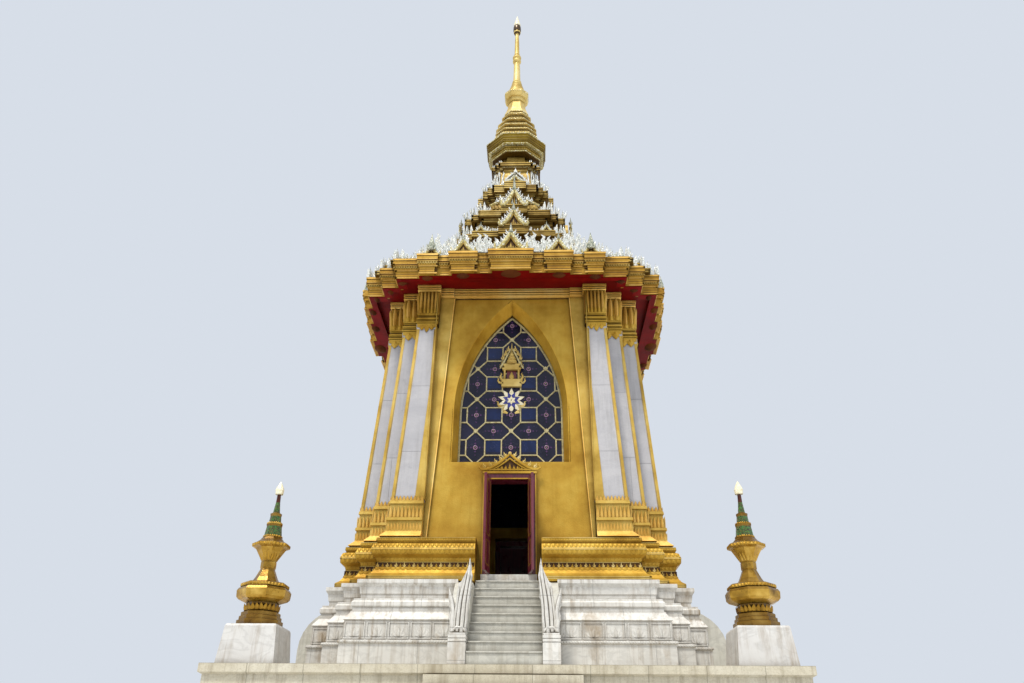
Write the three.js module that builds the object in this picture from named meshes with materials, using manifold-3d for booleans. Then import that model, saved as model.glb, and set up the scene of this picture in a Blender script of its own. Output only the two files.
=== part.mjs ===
// Thai mondop: a square, gilded hall with a tall ringed spire on two marble-faced terraces.
// Millimetres, +Z up, front towards -Y. Every solid is one closed body and stands clear of its
// neighbours by SEAT. Plans with stepped corners are redented squares: half width A, step D.

import * as THREE from 'three';
import { mergeVertices } from 'three/addons/utils/BufferGeometryUtils.js';
import Module from 'manifold-3d';

const wasm = await Module();
wasm.setup();

// Driving dimensions
const SEAT = 0.3;
const STEP_D = 460;

const LOWER_HALF = 5900;
const LOWER_TOP = 2100;
const FRIEZE_TOP = 3330;
const MARBLE_TOP = 4020;
const FLOOR_TOP = 4260;
const GOLD_BASE_TOP = 5050;
const WALL_TOP = 12200;
const SOFFIT_TOP = 12350;
const CORNICE_TOP = 12660;
const TIER_1_TOP = 15000;
const TIER_2_TOP = 16250;
const TIER_3_TOP = 17740;
const CHAMBER_TOP = 19450;
const CANOPY_TOP = 20150;
const RINGS_TOP = 23020;
const SPIRE_TOP = 26420;
const FINIAL_TOP = 27500;

const ROOM_HALF = 2750;
const BAY_HALF = 2050;
const BAY_FACE = 3500;
const BATTER = 0.0495;

const DOOR_CLEAR_HALF = 500;
const FRAME_WIDTH = 150;
const DOOR_HEIGHT = 2300;
const DOOR_PLANE = 3610;
const LEAF_THICK = 60;
const PIVOT_R = 18;
const LEAF_OPEN_DEG = 100;

const STAIR_HALF = 740;
const PARAPET_WIDTH = 360;
const PARAPET_END = 5400;
const PARAPET_TOP = 3900;
const PARAPET_CURVE = 1000;
const STAIR_BACK = 3620;
const TREAD = 243;
const RISERS = 10;
const GROUND_TREAD = 280;
const GROUND_STAIR_HALF = 1500;
const FLAME_BLOCK_FACE = 5850;
const FLAME_BLOCK_TOP = 2680;

const WINDOW_HALF = 1360;
const WINDOW_SILL = 7050;
const WINDOW_SPRING = 8530;
const WINDOW_APEX = 11600;
const ARCH_BAND = 130;
const ARCH_TIP_GROWTH = 2.5;
const REVEAL_DEPTH = 300;
const STRIP_FOOT = 5110;
const STRIP_FOOT_X = 1965;
const STRIP_SLOPE = 0.0527;
const STRIP_PROUD = 60;
const SOFFIT_HALF = 3950;
const CORNICE_HALF = 4160;

const LAMP_AT = 5100;
const PEDESTAL_TOP = 2870;
const LAMP_STEM_TOP = 5680;

const group = new THREE.Group();
group.name = 'mondop';

// Materials
const gold = { color: 0xc9a03c, roughness: 0.4, metalness: 0.55 };
const marble = { color: 0xd7d2c8, roughness: 0.5, metalness: 0 };
const stone = { color: 0xc8bea5, roughness: 0.8, metalness: 0 };
const red = { color: 0x7a0c0a, roughness: 0.6, metalness: 0 };
const navy = { color: 0x2c2c48, roughness: 0.15, metalness: 0 };
const white = { color: 0xf0ece0, roughness: 0.3, metalness: 0 };
const maroon = { color: 0x4a1020, roughness: 0.4, metalness: 0 };

function add(name, geometry, look) {
  const mesh = new THREE.Mesh(geometry, new THREE.MeshStandardMaterial(look));
  mesh.name = name;
  group.add(mesh);
}

// Redented square, counter-clockwise, with two steps of size d at each corner
function redent(a, d) {
  const quarter = [[a, a - 2 * d], [a - d, a - 2 * d], [a - d, a - d], [a - 2 * d, a - d], [a - 2 * d, a]];
  const points = [];
  for (let k = 0; k < 4; k += 1) {
    const c = [1, 0, -1, 0][k];
    const s = [0, 1, 0, -1][k];
    for (const [x, y] of quarter) {
      points.push([c * x - s * y, s * x + c * y]);
    }
  }
  return points;
}

function ngon(radius, count, turn) {
  const points = [];
  for (let i = 0; i < count; i += 1) {
    const angle = turn + (i * 2 * Math.PI) / count;
    points.push([radius * Math.cos(angle), radius * Math.sin(angle)]);
  }
  return points;
}

// Solid through a pile of outlines with equal point counts, each { z, points }
function loft(levels) {
  const n = levels[0].points.length;
  const positions = [];
  for (const level of levels) {
    for (const [x, y] of level.points) {
      positions.push(x, y, level.z);
    }
  }
  const index = [];
  for (let k = 0; k + 1 < levels.length; k += 1) {
    for (let i = 0; i < n; i += 1) {
      const a = k * n + i;
      const b = k * n + ((i + 1) % n);
      index.push(a, b, b + n, a, b + n, a + n);
    }
  }
  const last = (levels.length - 1) * n;
  const flat = (level) => level.points.map(([x, y]) => new THREE.Vector2(x, y));
  for (const [a, b, c] of THREE.ShapeUtils.triangulateShape(flat(levels[0]), [])) {
    index.push(a, c, b);
  }
  for (const [a, b, c] of THREE.ShapeUtils.triangulateShape(flat(levels[levels.length - 1]), [])) {
    index.push(last + a, last + b, last + c);
  }
  const geometry = new THREE.BufferGeometry();
  geometry.setAttribute('position', new THREE.Float32BufferAttribute(positions, 3));
  geometry.setIndex(index);
  geometry.computeVertexNormals();
  return geometry;
}

// Moulded pile of redented squares from [z, half width] pairs
function moulded(pairs, d) {
  return loft(pairs.map(([z, a]) => ({ z, points: redent(a, d) })));
}

function turned(pairs, count, turn) {
  return loft(pairs.map(([z, r]) => ({ z, points: ngon(r, count, turn) })));
}

function block(x0, x1, y0, y1, z0, z1) {
  const points = [[x0, y0], [x1, y0], [x1, y1], [x0, y1]];
  return loft([{ z: z0, points }, { z: z1, points }]);
}

// Outline drawn as [across, up] pairs, made y0 to y1 deep in the front face
function frontPrism(outline, y0, y1) {
  const shape = new THREE.Shape(outline.map(([x, z]) => new THREE.Vector2(x, z)));
  const geometry = new THREE.ExtrudeGeometry(shape, { depth: y1 - y0, bevelEnabled: false });
  geometry.rotateX(Math.PI / 2);
  geometry.translate(0, y1, 0);
  return geometry;
}

// Outline drawn as [outward, up] pairs, made x0 to x1 wide on the front stair
function sidePrism(outline, x0, x1) {
  const shape = new THREE.Shape(outline.map(([out, z]) => new THREE.Vector2(out, z)));
  const geometry = new THREE.ExtrudeGeometry(shape, { depth: x1 - x0, bevelEnabled: false });
  geometry.applyMatrix4(new THREE.Matrix4().set(0, 0, 1, x0, -1, 0, 0, 0, 0, 1, 0, 0, 0, 0, 0, 1));
  return flipIfNeeded(geometry);
}

function flipIfNeeded(geometry) {
  const plain = weld(geometry);
  const position = plain.getAttribute('position');
  const index = plain.getIndex();
  let volume = 0;
  const a = new THREE.Vector3();
  const b = new THREE.Vector3();
  const c = new THREE.Vector3();
  for (let i = 0; i < index.count; i += 3) {
    a.fromBufferAttribute(position, index.getX(i));
    b.fromBufferAttribute(position, index.getX(i + 1));
    c.fromBufferAttribute(position, index.getX(i + 2));
    volume += a.dot(b.cross(c));
  }
  if (volume < 0) {
    for (let i = 0; i < index.count; i += 3) {
      const keep = index.getX(i + 1);
      index.setX(i + 1, index.getX(i + 2));
      index.setX(i + 2, keep);
    }
  }
  plain.computeVertexNormals();
  return plain;
}

function weld(geometry) {
  const plain = new THREE.BufferGeometry();
  plain.setAttribute('position', geometry.getAttribute('position').clone());
  if (geometry.getIndex()) {
    plain.setIndex(geometry.getIndex().clone());
  }
  return mergeVertices(plain, 0.001);
}

function solid(geometry) {
  const plain = weld(geometry);
  const mesh = new wasm.Mesh({
    numProp: 3,
    vertProperties: new Float32Array(plain.getAttribute('position').array),
    triVerts: new Uint32Array(plain.getIndex().array),
  });
  return new wasm.Manifold(mesh);
}

function shaped(manifold) {
  const mesh = manifold.getMesh();
  const geometry = new THREE.BufferGeometry();
  geometry.setAttribute('position', new THREE.Float32BufferAttribute(mesh.vertProperties, 3));
  geometry.setIndex(Array.from(mesh.triVerts));
  geometry.computeVertexNormals();
  return geometry;
}

function cut(geometry, tools) {
  let body = solid(geometry);
  for (const tool of tools) {
    body = body.subtract(solid(tool));
  }
  return shaped(body);
}

function join(geometry, extras) {
  let body = solid(geometry);
  for (const extra of extras) {
    body = body.add(solid(extra));
  }
  return shaped(body);
}

function quarterTurn(geometry, k) {
  const copy = geometry.clone();
  copy.rotateZ((k * Math.PI) / 2);
  return copy;
}

function mirrorX(geometry) {
  const copy = geometry.clone();
  copy.scale(-1, 1, 1);
  return flipIfNeeded(copy);
}

// Leans a face piece back by the batter of the walls above the gold base
function lean(geometry) {
  const position = geometry.getAttribute('position');
  for (let i = 0; i < position.count; i += 1) {
    const rise = Math.max(0, position.getZ(i) - GOLD_BASE_TOP);
    const y = position.getY(i);
    if (y < -ROOM_HALF - 1) {
      position.setY(i, y + rise * BATTER);
    }
  }
  geometry.computeVertexNormals();
  return geometry;
}

const SIDES = ['front', 'right', 'back', 'left'];
const CORNERS = ['front_right', 'back_right', 'back_left', 'front_left'];

// Terraces
const lowerProfile = [[0, 0], [250, 0], [300, -70], [1900, -70], [1940, 0], [LOWER_TOP, 0]];
add('lower_terrace', loft(lowerProfile.map(([z, o]) => {
  const h = LOWER_HALF + o;
  return { z, points: [[h, -h], [h, h], [-h, h], [-h, -h]] };
})), stone);

const notchHalf = STAIR_HALF + PARAPET_WIDTH + SEAT;
function notch(z0, z1) {
  return block(-notchHalf, notchHalf, -LOWER_HALF, -STAIR_BACK + SEAT, z0, z1);
}

const friezeBody = moulded([
  [LOWER_TOP + SEAT, 4530], [2200, 4530], [2230, 4480], [2640, 4480], [2660, 4510], [2710, 4510],
  [2730, 4420], [3110, 4420], [3140, 4450], [3300, 4330], [FRIEZE_TOP, 4330],
], STEP_D);
add('upper_terrace', cut(friezeBody, [0, 1, 2, 3].map((k) => quarterTurn(notch(2000, 3400), k))), marble);

const marbleBody = moulded([
  [FRIEZE_TOP + SEAT, 4300], [3400, 4300], [3440, 4330], [3520, 4330], [3560, 4290], [3600, 4290],
  [3610, 4170], [3690, 4170], [3720, 4190], [3860, 4210], [3940, 4260], [MARBLE_TOP, 4260],
], STEP_D);
add('marble_base', cut(marbleBody, [0, 1, 2, 3].map((k) => quarterTurn(notch(3300, 4100), k))), marble);

// Hall floor with a threshold in every doorway
const frameHalf = DOOR_CLEAR_HALF + FRAME_WIDTH;
const floorHalf = ROOM_HALF - SEAT;
const floorBody = block(-floorHalf, floorHalf, -floorHalf, floorHalf, MARBLE_TOP + SEAT, FLOOR_TOP);
const tongue = block(-frameHalf + SEAT, frameHalf - SEAT, -STAIR_BACK + SEAT, -floorHalf + 10,
  MARBLE_TOP + SEAT, FLOOR_TOP);
add('hall_floor', join(floorBody, [0, 1, 2, 3].map((k) => quarterTurn(tongue, k))), marble);

// Gold base, one moulded corner block between each pair of doorways
const goldPairs = [
  [MARBLE_TOP + SEAT, 4110], [4140, 4110], [4200, 4030], [4300, 3960], [4480, 3930], [4560, 3950],
  [4620, 4040], [4740, 4065], [4860, 4020], [4900, 3950], [4940, 3975], [5010, 3975], [GOLD_BASE_TOP, 3880],
];
function cornerBase(a, d) {
  const inner = BAY_FACE + SEAT;
  const side = BAY_HALF + SEAT;
  const gap = STAIR_HALF + 20;
  return [
    [gap, -a], [a - 2 * d, -a], [a - 2 * d, -(a - d)], [a - d, -(a - d)], [a - d, -(a - 2 * d)],
    [a, -(a - 2 * d)], [a, -gap], [inner, -gap], [inner, -side], [ROOM_HALF, -side],
    [ROOM_HALF, -ROOM_HALF], [side, -ROOM_HALF], [side, -inner], [gap, -inner],
  ];
}
const goldCorner = loft(goldPairs.map(([z, a]) => ({ z, points: cornerBase(a, STEP_D) })));
CORNERS.forEach((corner, k) => add('gold_base_' + corner, quarterTurn(goldCorner, k), gold));

// Corner piers: three pilasters to a face, leaning inwards
const pierPairs = [
  [GOLD_BASE_TOP + SEAT, 3850], [5150, 3800], [5950, 3745], [10800, 3480], [10850, 3500], [10950, 3500],
  [10980, 3455], [11300, 3440], [12000, 3440], [12050, 3490], [WALL_TOP - SEAT, 3490],
];
function pierPlan(a, d) {
  const side = BAY_HALF + SEAT;
  return [
    [side, -a], [a - 2 * d, -a], [a - 2 * d, -(a - d)], [a - d, -(a - d)], [a - d, -(a - 2 * d)],
    [a, -(a - 2 * d)], [a, -side], [ROOM_HALF, -side], [ROOM_HALF, -ROOM_HALF], [side, -ROOM_HALF],
  ];
}
const pier = loft(pierPairs.map(([z, a]) => ({ z, points: pierPlan(a, STEP_D) })));
CORNERS.forEach((corner, k) => add('corner_pier_' + corner, quarterTurn(pier, k), marble));

// Pointed arch outline from the sill up, grown by band on every side but the sill
function archOutline(band, sill, steps) {
  const half = WINDOW_HALF + band;
  const rise = WINDOW_APEX + band * ARCH_TIP_GROWTH - WINDOW_SPRING;
  const back = (rise * rise - half * half) / (2 * half);
  const radius = half + back;
  const sweep = Math.atan2(rise, back);
  const right = [];
  for (let i = 0; i <= steps; i += 1) {
    const angle = (sweep * i) / steps;
    right.push([radius * Math.cos(angle) - back, WINDOW_SPRING + radius * Math.sin(angle)]);
  }
  right[steps] = [0, WINDOW_SPRING + rise];
  const left = right.slice(0, steps).reverse().map(([x, z]) => [-x, z]);
  return [[-half, sill], [half, sill], ...right, ...left];
}

// Bay walls between the piers: lower wall beside the door, upper wall with the arched window
const doorHead = FLOOR_TOP + DOOR_HEIGHT + FRAME_WIDTH;
const bayEdge = BAY_HALF - SEAT;
const bayTop = WALL_TOP - SEAT;
function archAt(band, y) {
  const outline = archOutline(band, WINDOW_SILL, 8);
  return outline.map(([x, z]) => [x, y, z]);
}
// Hole that splays outwards from the sheet to the wall face
function splayedHole() {
  const rings = [
    archAt(ARCH_BAND, -4600), archAt(ARCH_BAND, -BAY_FACE),
    archAt(0, -BAY_FACE + REVEAL_DEPTH), archAt(0, -2000),
  ];
  const n = rings[0].length;
  const index = [];
  for (let k = 0; k + 1 < rings.length; k += 1) {
    for (let i = 0; i < n; i += 1) {
      const a = k * n + i;
      const b = k * n + ((i + 1) % n);
      index.push(a, b + n, b, a, a + n, b + n);
    }
  }
  const flat = rings[0].map(([x, , z]) => new THREE.Vector2(x, z));
  const last = (rings.length - 1) * n;
  for (const [a, b, c] of THREE.ShapeUtils.triangulateShape(flat, [])) {
    index.push(a, b, c);
    index.push(last + a, last + c, last + b);
  }
  const geometry = new THREE.BufferGeometry();
  geometry.setAttribute('position', new THREE.Float32BufferAttribute(rings.flat(2), 3));
  geometry.setIndex(index);
  return flipIfNeeded(geometry);
}
const windowHole = splayedHole();
// Raised strip beside each pier, whose inner edge leans with the pier
function strip(z0, z1) {
  const edge = (z) => STRIP_FOOT_X - (z - STRIP_FOOT) * STRIP_SLOPE;
  const outline = [[edge(z0), z0], [bayEdge, z0], [bayEdge, z1], [edge(z1), z1]];
  return frontPrism(outline, -BAY_FACE - STRIP_PROUD, -BAY_FACE + 50);
}
const stripTop = 11980;
const bayCornice = block(-bayEdge, bayEdge, -BAY_FACE - 120, -BAY_FACE + 60, 12060, bayTop);
const bayBead = block(-bayEdge, bayEdge, -BAY_FACE - 80, -BAY_FACE + 60, 11960, 12020);
function upperBay(z0) {
  const plate = block(-bayEdge, bayEdge, -BAY_FACE, -ROOM_HALF, z0, bayTop);
  const side = strip(Math.max(z0, STRIP_FOOT), stripTop);
  return solid(plate).subtract(solid(windowHole)).add(solid(side)).add(solid(mirrorX(side)))
    .add(solid(bayCornice)).add(solid(bayBead));
}
add('bay_front_over', lean(shaped(upperBay(doorHead + SEAT))), gold);
const bayBeside = join(
  block(frameHalf + SEAT, bayEdge, -BAY_FACE, -ROOM_HALF, MARBLE_TOP + SEAT, doorHead),
  [strip(STRIP_FOOT, doorHead)],
);
add('bay_front_right', lean(bayBeside.clone()), gold);
add('bay_front_left', lean(mirrorX(bayBeside)), gold);
const doorHole = block(-frameHalf - SEAT, frameHalf + SEAT, -4600, -2000, 4000, doorHead + SEAT);
const fullBay = shaped(upperBay(MARBLE_TOP + SEAT).subtract(solid(doorHole)));
lean(fullBay);
for (const k of [1, 2, 3]) {
  add('bay_' + SIDES[k], quarterTurn(fullBay, k), gold);
}

// One leaded sheet in each arch
const sheetOutline = archOutline(-SEAT, WINDOW_SILL + SEAT, 8);
const sheet = lean(frontPrism(sheetOutline, -3060, -3020));
SIDES.forEach((side, k) => add('window_' + side, quarterTurn(sheet, k), navy));

// Doors: an open pair in front, closed pairs on the other sides
const frameBack = -BAY_FACE + 380;
const clearTop = FLOOR_TOP + DOOR_HEIGHT;
function doorFrame() {
  const whole = block(-frameHalf, frameHalf, -BAY_FACE - 30, frameBack, FLOOR_TOP + SEAT, doorHead);
  const hole = block(-DOOR_CLEAR_HALF, DOOR_CLEAR_HALF, -4600, -2000, FLOOR_TOP - 100, clearTop);
  return cut(whole, [hole]);
}
add('door_frame_front', doorFrame(), maroon);
const leafWide = DOOR_CLEAR_HALF - 8;
const leafBottom = FLOOR_TOP + 6;
const leafTop = clearTop - 15;
function leaf(turnDeg) {
  const pivot = turned([[FLOOR_TOP + SEAT, PIVOT_R], [leafBottom + 60, PIVOT_R]], 12, 0);
  const geometry = join(block(6, leafWide, 0, LEAF_THICK, leafBottom, leafTop), [pivot]);
  geometry.rotateZ((-turnDeg * Math.PI) / 180);
  geometry.translate(-DOOR_CLEAR_HALF, -DOOR_PLANE, 0);
  return geometry;
}
add('door_leaf_left', leaf(LEAF_OPEN_DEG), maroon);
add('door_leaf_right', mirrorX(leaf(LEAF_OPEN_DEG)), maroon);
const shutLeaves = block(-DOOR_CLEAR_HALF - 10, DOOR_CLEAR_HALF + 10, -BAY_FACE + 60,
  -BAY_FACE + 60 + LEAF_THICK, FLOOR_TOP + SEAT, clearTop + 10);
const shutDoor = join(doorFrame(), [shutLeaves]);
for (const k of [1, 2, 3]) {
  add('door_' + SIDES[k], quarterTurn(shutDoor, k), maroon);
}

// Soffit slab over the hall and the overhanging cornice that wraps it
add('soffit', loft([
  { z: WALL_TOP, points: redent(SOFFIT_HALF, STEP_D) },
  { z: SOFFIT_TOP, points: redent(SOFFIT_HALF, STEP_D) },
]), red);
// Cornice plan: stepped corners and five projections to a face, grown outwards by o
function cornicePlan(o) {
  const d = STEP_D;
  const e = CORNICE_HALF + o;
  const bumps = [[-2560, -1990, 4400], [-1690, -900, 4500], [-610, 610, 4600], [900, 1690, 4500],
    [1990, 2560, 4400]];
  const side = [[-(e - 2 * d), -(e - d)], [-(e - 2 * d), -e]];
  let before = e;
  bumps.forEach(([x0, x1, out], i) => {
    const after = i === bumps.length - 1 ? e : [4300, 4400, 4400, 4300][i] + o;
    side.push([x0 - o, -before], [x0 - o, -(out + o)], [x1 + o, -(out + o)], [x1 + o, -after]);
    before = after;
  });
  side.push([e - 2 * d, -e], [e - 2 * d, -(e - d)], [e - d, -(e - d)]);
  const points = [];
  for (let k = 0; k < 4; k += 1) {
    const c = [1, 0, -1, 0][k];
    const s = [0, 1, 0, -1][k];
    for (const [x, y] of side) {
      points.push([c * x - s * y, s * x + c * y]);
    }
  }
  return points;
}
const corniceBands = [[12070, -85], [12320, -75], [12330, -35], [12450, -30], [12460, 0], [CORNICE_TOP, 0]];
const cornicePocket = loft([
  { z: 12000, points: redent(SOFFIT_HALF + SEAT, STEP_D) },
  { z: SOFFIT_TOP + SEAT, points: redent(SOFFIT_HALF + SEAT, STEP_D) },
]);
const corniceBody = loft(corniceBands.map(([z, o]) => ({ z, points: cornicePlan(o) })));
add('main_cornice', cut(corniceBody, [cornicePocket]), gold);

// Roof tiers, each with a gable on every face
function gable(half, base, tip, face, inner) {
  const knee = base + (tip - base) * 0.12;
  const outline = [[-half, base], [half, base], [half, knee], [half * 0.3, base + (tip - base) * 0.55],
    [0, tip], [-half * 0.3, base + (tip - base) * 0.55], [-half, knee]];
  return frontPrism(outline, -face, -inner);
}
function tier(pairs, d, extras) {
  const all = [];
  for (let k = 0; k < 4; k += 1) {
    extras.forEach((extra) => all.push(quarterTurn(extra, k)));
  }
  return join(moulded(pairs, d), all);
}
add('roof_tier_1', tier([
  [CORNICE_TOP + SEAT, 3900], [12800, 3880], [12830, 3450], [13400, 3060], [13430, 3120], [13560, 3140],
  [13600, 2550], [14520, 1880], [14560, 1960], [14720, 1990], [14740, 2050], [TIER_1_TOP, 2060],
], 270, [
  gable(330, CORNICE_TOP + SEAT, 13220, 4480, 2900),
  block(-450, 450, -2480, -1200, 14700, TIER_1_TOP),
  block(-1270, 1270, -2300, -1200, 14720, TIER_1_TOP - 60),
]), gold);
add('roof_tier_2', tier([
  [TIER_1_TOP + SEAT, 1800], [15140, 1780], [15170, 1600], [15820, 1400], [15860, 1500], [16000, 1530],
  [16020, 1620], [TIER_2_TOP, 1640],
], 240, [
  gable(330, TIER_1_TOP + SEAT, 15600, 2420, 1200),
  block(-400, 400, -1860, -1000, 16000, TIER_2_TOP),
]), gold);
add('roof_tier_3', tier([
  [TIER_2_TOP + SEAT, 1400], [16380, 1380], [16410, 1200], [17250, 900], [17290, 980], [17430, 1010],
  [17450, 1090], [TIER_3_TOP, 1100],
], 170, [
  gable(330, TIER_2_TOP + SEAT, 16860, 1800, 900),
  block(-350, 350, -1290, -600, 17460, TIER_3_TOP),
]), gold);

// Relic chamber, octagonal canopy, ring stack, spire and finial
const OCT = Math.PI / 8;
add('relic_chamber', moulded([
  [TIER_3_TOP + SEAT, 930], [17900, 910], [17930, 810], [18500, 750], [18800, 670], [18840, 710],
  [18960, 720], [18990, 620], [CHAMBER_TOP, 560],
], 130), gold);
add('octagonal_canopy', turned([
  [CHAMBER_TOP + SEAT, 880], [19480, 930], [19690, 945], [19710, 820], [19940, 800], [19960, 960],
  [19745, 1010], [19735, 1050], [20060, 1120], [20110, 1140], [CANOPY_TOP, 1140],
], 8, OCT), gold);
// Five rings, a flaring neck and the collar under the mast, from [z, half width, half front] triples
function chamfered(half, front) {
  return [[front, -half], [half, -front], [half, front], [front, half],
    [-front, half], [-half, front], [-half, -front], [-front, -half]];
}
add('ring_stack', loft([
  [CANOPY_TOP + SEAT, 720, 400], [20400, 700, 390], [20412, 760, 455], [20500, 755, 450],
  [20515, 690, 400], [20640, 665, 385], [20650, 745, 430], [20705, 740, 425],
  [20720, 650, 360], [20870, 620, 340], [20880, 730, 385], [20935, 725, 380],
  [20950, 600, 310], [21180, 540, 270], [21190, 672, 305], [21245, 665, 300],
  [21260, 500, 245], [21575, 430, 205], [21585, 530, 256], [21640, 525, 250],
  [21655, 420, 200], [21790, 400, 190], [21800, 440, 210], [21860, 437, 208],
  [22000, 385, 175], [22200, 330, 150], [22500, 285, 130], [22515, 330, 150],
  [22660, 345, 160], [22680, 400, 185], [22840, 440, 205], [22950, 440, 205], [RINGS_TOP, 370, 165],
].map(([z, half, front]) => ({ z, points: chamfered(half, front) }))), gold);
add('spire', turned([
  [RINGS_TOP + SEAT, 350], [23090, 360], [23110, 290], [23240, 300], [23260, 250], [23370, 262],
  [23390, 215], [23490, 226], [23510, 185], [23610, 195], [23630, 160], [23740, 168], [23760, 138],
  [24790, 112], [24850, 160], [25090, 165], [25150, 100], [SPIRE_TOP, 70],
], 12, 0), gold);
add('finial', turned([
  [SPIRE_TOP + SEAT, 80], [26480, 130], [26640, 158], [26800, 150], [26890, 135], [27120, 95],
  [FINIAL_TOP, 10],
], 12, 0), gold);

// Stairs with rounded side walls
const riser = (FLOOR_TOP - LOWER_TOP) / RISERS;
function stairOutline() {
  const outline = [[STAIR_BACK + SEAT, LOWER_TOP + SEAT]];
  const foot = STAIR_BACK + (RISERS - 1) * TREAD;
  outline.push([foot, LOWER_TOP + SEAT]);
  for (let k = RISERS - 1; k >= 1; k -= 1) {
    const level = FLOOR_TOP - k * riser;
    outline.push([STAIR_BACK + k * TREAD, level]);
    outline.push([STAIR_BACK + (k - 1) * TREAD + (k === 1 ? SEAT : 0), level]);
  }
  return outline;
}
function parapetOutline() {
  const spring = PARAPET_TOP - PARAPET_CURVE;
  const outline = [
    [STAIR_BACK + SEAT, LOWER_TOP + SEAT], [PARAPET_END, LOWER_TOP + SEAT], [PARAPET_END, spring],
  ];
  const facets = 7;
  for (let i = 1; i <= facets; i += 1) {
    const angle = (Math.PI / 2) * (i / facets);
    outline.push([
      PARAPET_END - PARAPET_CURVE + PARAPET_CURVE * Math.cos(angle),
      spring + PARAPET_CURVE * Math.sin(angle),
    ]);
  }
  outline.push([STAIR_BACK + SEAT, PARAPET_TOP]);
  return outline;
}
const flight = sidePrism(stairOutline(), -STAIR_HALF - 10, STAIR_HALF + 10);
const parapet = sidePrism(parapetOutline(), STAIR_HALF, STAIR_HALF + PARAPET_WIDTH);
const stair = join(flight, [parapet, mirrorX(parapet)]);
SIDES.forEach((side, k) => add('stair_' + side, quarterTurn(stair, k), marble));

// Plain flight from the ground up to the lower terrace, in front only
const groundRiser = LOWER_TOP / RISERS;
function groundOutline() {
  const outline = [[LOWER_HALF + SEAT, 0], [LOWER_HALF + (RISERS - 1) * GROUND_TREAD, 0]];
  for (let k = RISERS - 1; k >= 1; k -= 1) {
    const level = LOWER_TOP - k * groundRiser;
    outline.push([LOWER_HALF + k * GROUND_TREAD, level]);
    outline.push([LOWER_HALF + (k - 1) * GROUND_TREAD + (k === 1 ? SEAT : 0), level]);
  }
  return outline;
}
add('ground_stair', sidePrism(groundOutline(), -GROUND_STAIR_HALF, GROUND_STAIR_HALF), stone);

// Flame ornaments on blocks at the foot of the front stair, drawn for the left side
const flameOutline = [
  [-1090, FLAME_BLOCK_TOP - 10], [-760, FLAME_BLOCK_TOP - 10], [-740, 2900], [-735, 3200],
  [-705, 3450], [-690, 3650], [-672, 3820], [-693, 3900], [-700, 4005], [-729, 4167], [-756, 4005],
  [-784, 3916], [-826, 3819], [-893, 3690], [-946, 3651], [-963, 3512], [-979, 3374], [-996, 3160],
  [-1041, 3374], [-1091, 3477], [-1134, 3564], [-1140, 3373], [-1122, 3270], [-1080, 3134],
  [-1112, 3033], [-1096, 2899],
];
const blockOuter = STAIR_HALF + PARAPET_WIDTH;
const flameBlock = block(-blockOuter, -STAIR_HALF - 11, -FLAME_BLOCK_FACE, -PARAPET_END - SEAT,
  LOWER_TOP + SEAT, FLAME_BLOCK_TOP);
const flame = join(flameBlock, [frontPrism(flameOutline, -5720, -5520)]);
add('flame_front_left', flame, marble);
add('flame_front_right', mirrorX(flame), marble);

// Corner lamps on marble pedestals
function squareAt(half) {
  return [[LAMP_AT + half, -LAMP_AT - half], [LAMP_AT + half, -LAMP_AT + half],
    [LAMP_AT - half, -LAMP_AT + half], [LAMP_AT - half, -LAMP_AT - half]];
}
const pedestal = loft([[LOWER_TOP + SEAT, 585], [PEDESTAL_TOP - 40, 520], [PEDESTAL_TOP, 500]]
  .map(([z, h]) => ({ z, points: squareAt(h) })));
CORNERS.forEach((corner, k) => add('pedestal_' + corner, quarterTurn(pedestal, k), marble));
const lamp = turned([
  [PEDESTAL_TOP + SEAT, 469], [2980, 469], [2995, 430], [3060, 430], [3075, 400], [3140, 400],
  [3170, 345], [3260, 320], [3330, 330], [3390, 500], [3440, 548], [3570, 558], [3625, 520],
  [3635, 480], [3650, 500], [3710, 500], [3730, 470], [3745, 300], [3860, 230], [4040, 150],
  [4060, 162], [4180, 162], [4200, 155],
  [4470, 320], [4500, 398], [4560, 405], [4600, 320], [4650, 255], [4710, 210], [4730, 190],
  [4950, 160], [5000, 172], [5030, 132], [5180, 116], [5240, 126], [5260, 76], [5500, 46],
  [LAMP_STEM_TOP, 40],
], 8, OCT);
lamp.translate(LAMP_AT, -LAMP_AT, 0);
const bulb = turned([
  [LAMP_STEM_TOP + SEAT, 55], [5720, 85], [5780, 96], [5840, 80], [5980, 8],
], 8, OCT);
bulb.translate(LAMP_AT, -LAMP_AT, 0);
CORNERS.forEach((corner, k) => add('lamp_' + corner, quarterTurn(lamp, k), gold));
CORNERS.forEach((corner, k) => add('lamp_bulb_' + corner, quarterTurn(bulb, k), white));

export default group;
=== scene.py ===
"""Looks of a gilded mondop, a square shrine hall under a tiered roof and a spire.

Metres, +Z up, front towards -Y."""
import math
import random

import bmesh
import bpy
import numpy as np
from mathutils import Matrix, Vector


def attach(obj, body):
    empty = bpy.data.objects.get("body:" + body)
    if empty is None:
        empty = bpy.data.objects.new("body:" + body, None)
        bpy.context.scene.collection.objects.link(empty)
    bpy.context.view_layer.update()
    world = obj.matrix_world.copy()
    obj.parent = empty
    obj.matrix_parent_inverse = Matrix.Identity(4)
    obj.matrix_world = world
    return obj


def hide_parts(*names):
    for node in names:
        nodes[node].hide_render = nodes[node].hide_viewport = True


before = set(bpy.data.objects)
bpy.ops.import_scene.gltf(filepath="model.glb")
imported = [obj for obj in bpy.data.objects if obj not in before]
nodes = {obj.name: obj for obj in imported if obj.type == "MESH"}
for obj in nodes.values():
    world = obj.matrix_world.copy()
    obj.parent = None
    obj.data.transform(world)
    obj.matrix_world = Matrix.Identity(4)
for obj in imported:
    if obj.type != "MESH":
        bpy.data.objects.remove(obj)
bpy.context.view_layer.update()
SEED = 7
random.seed(SEED)

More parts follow.
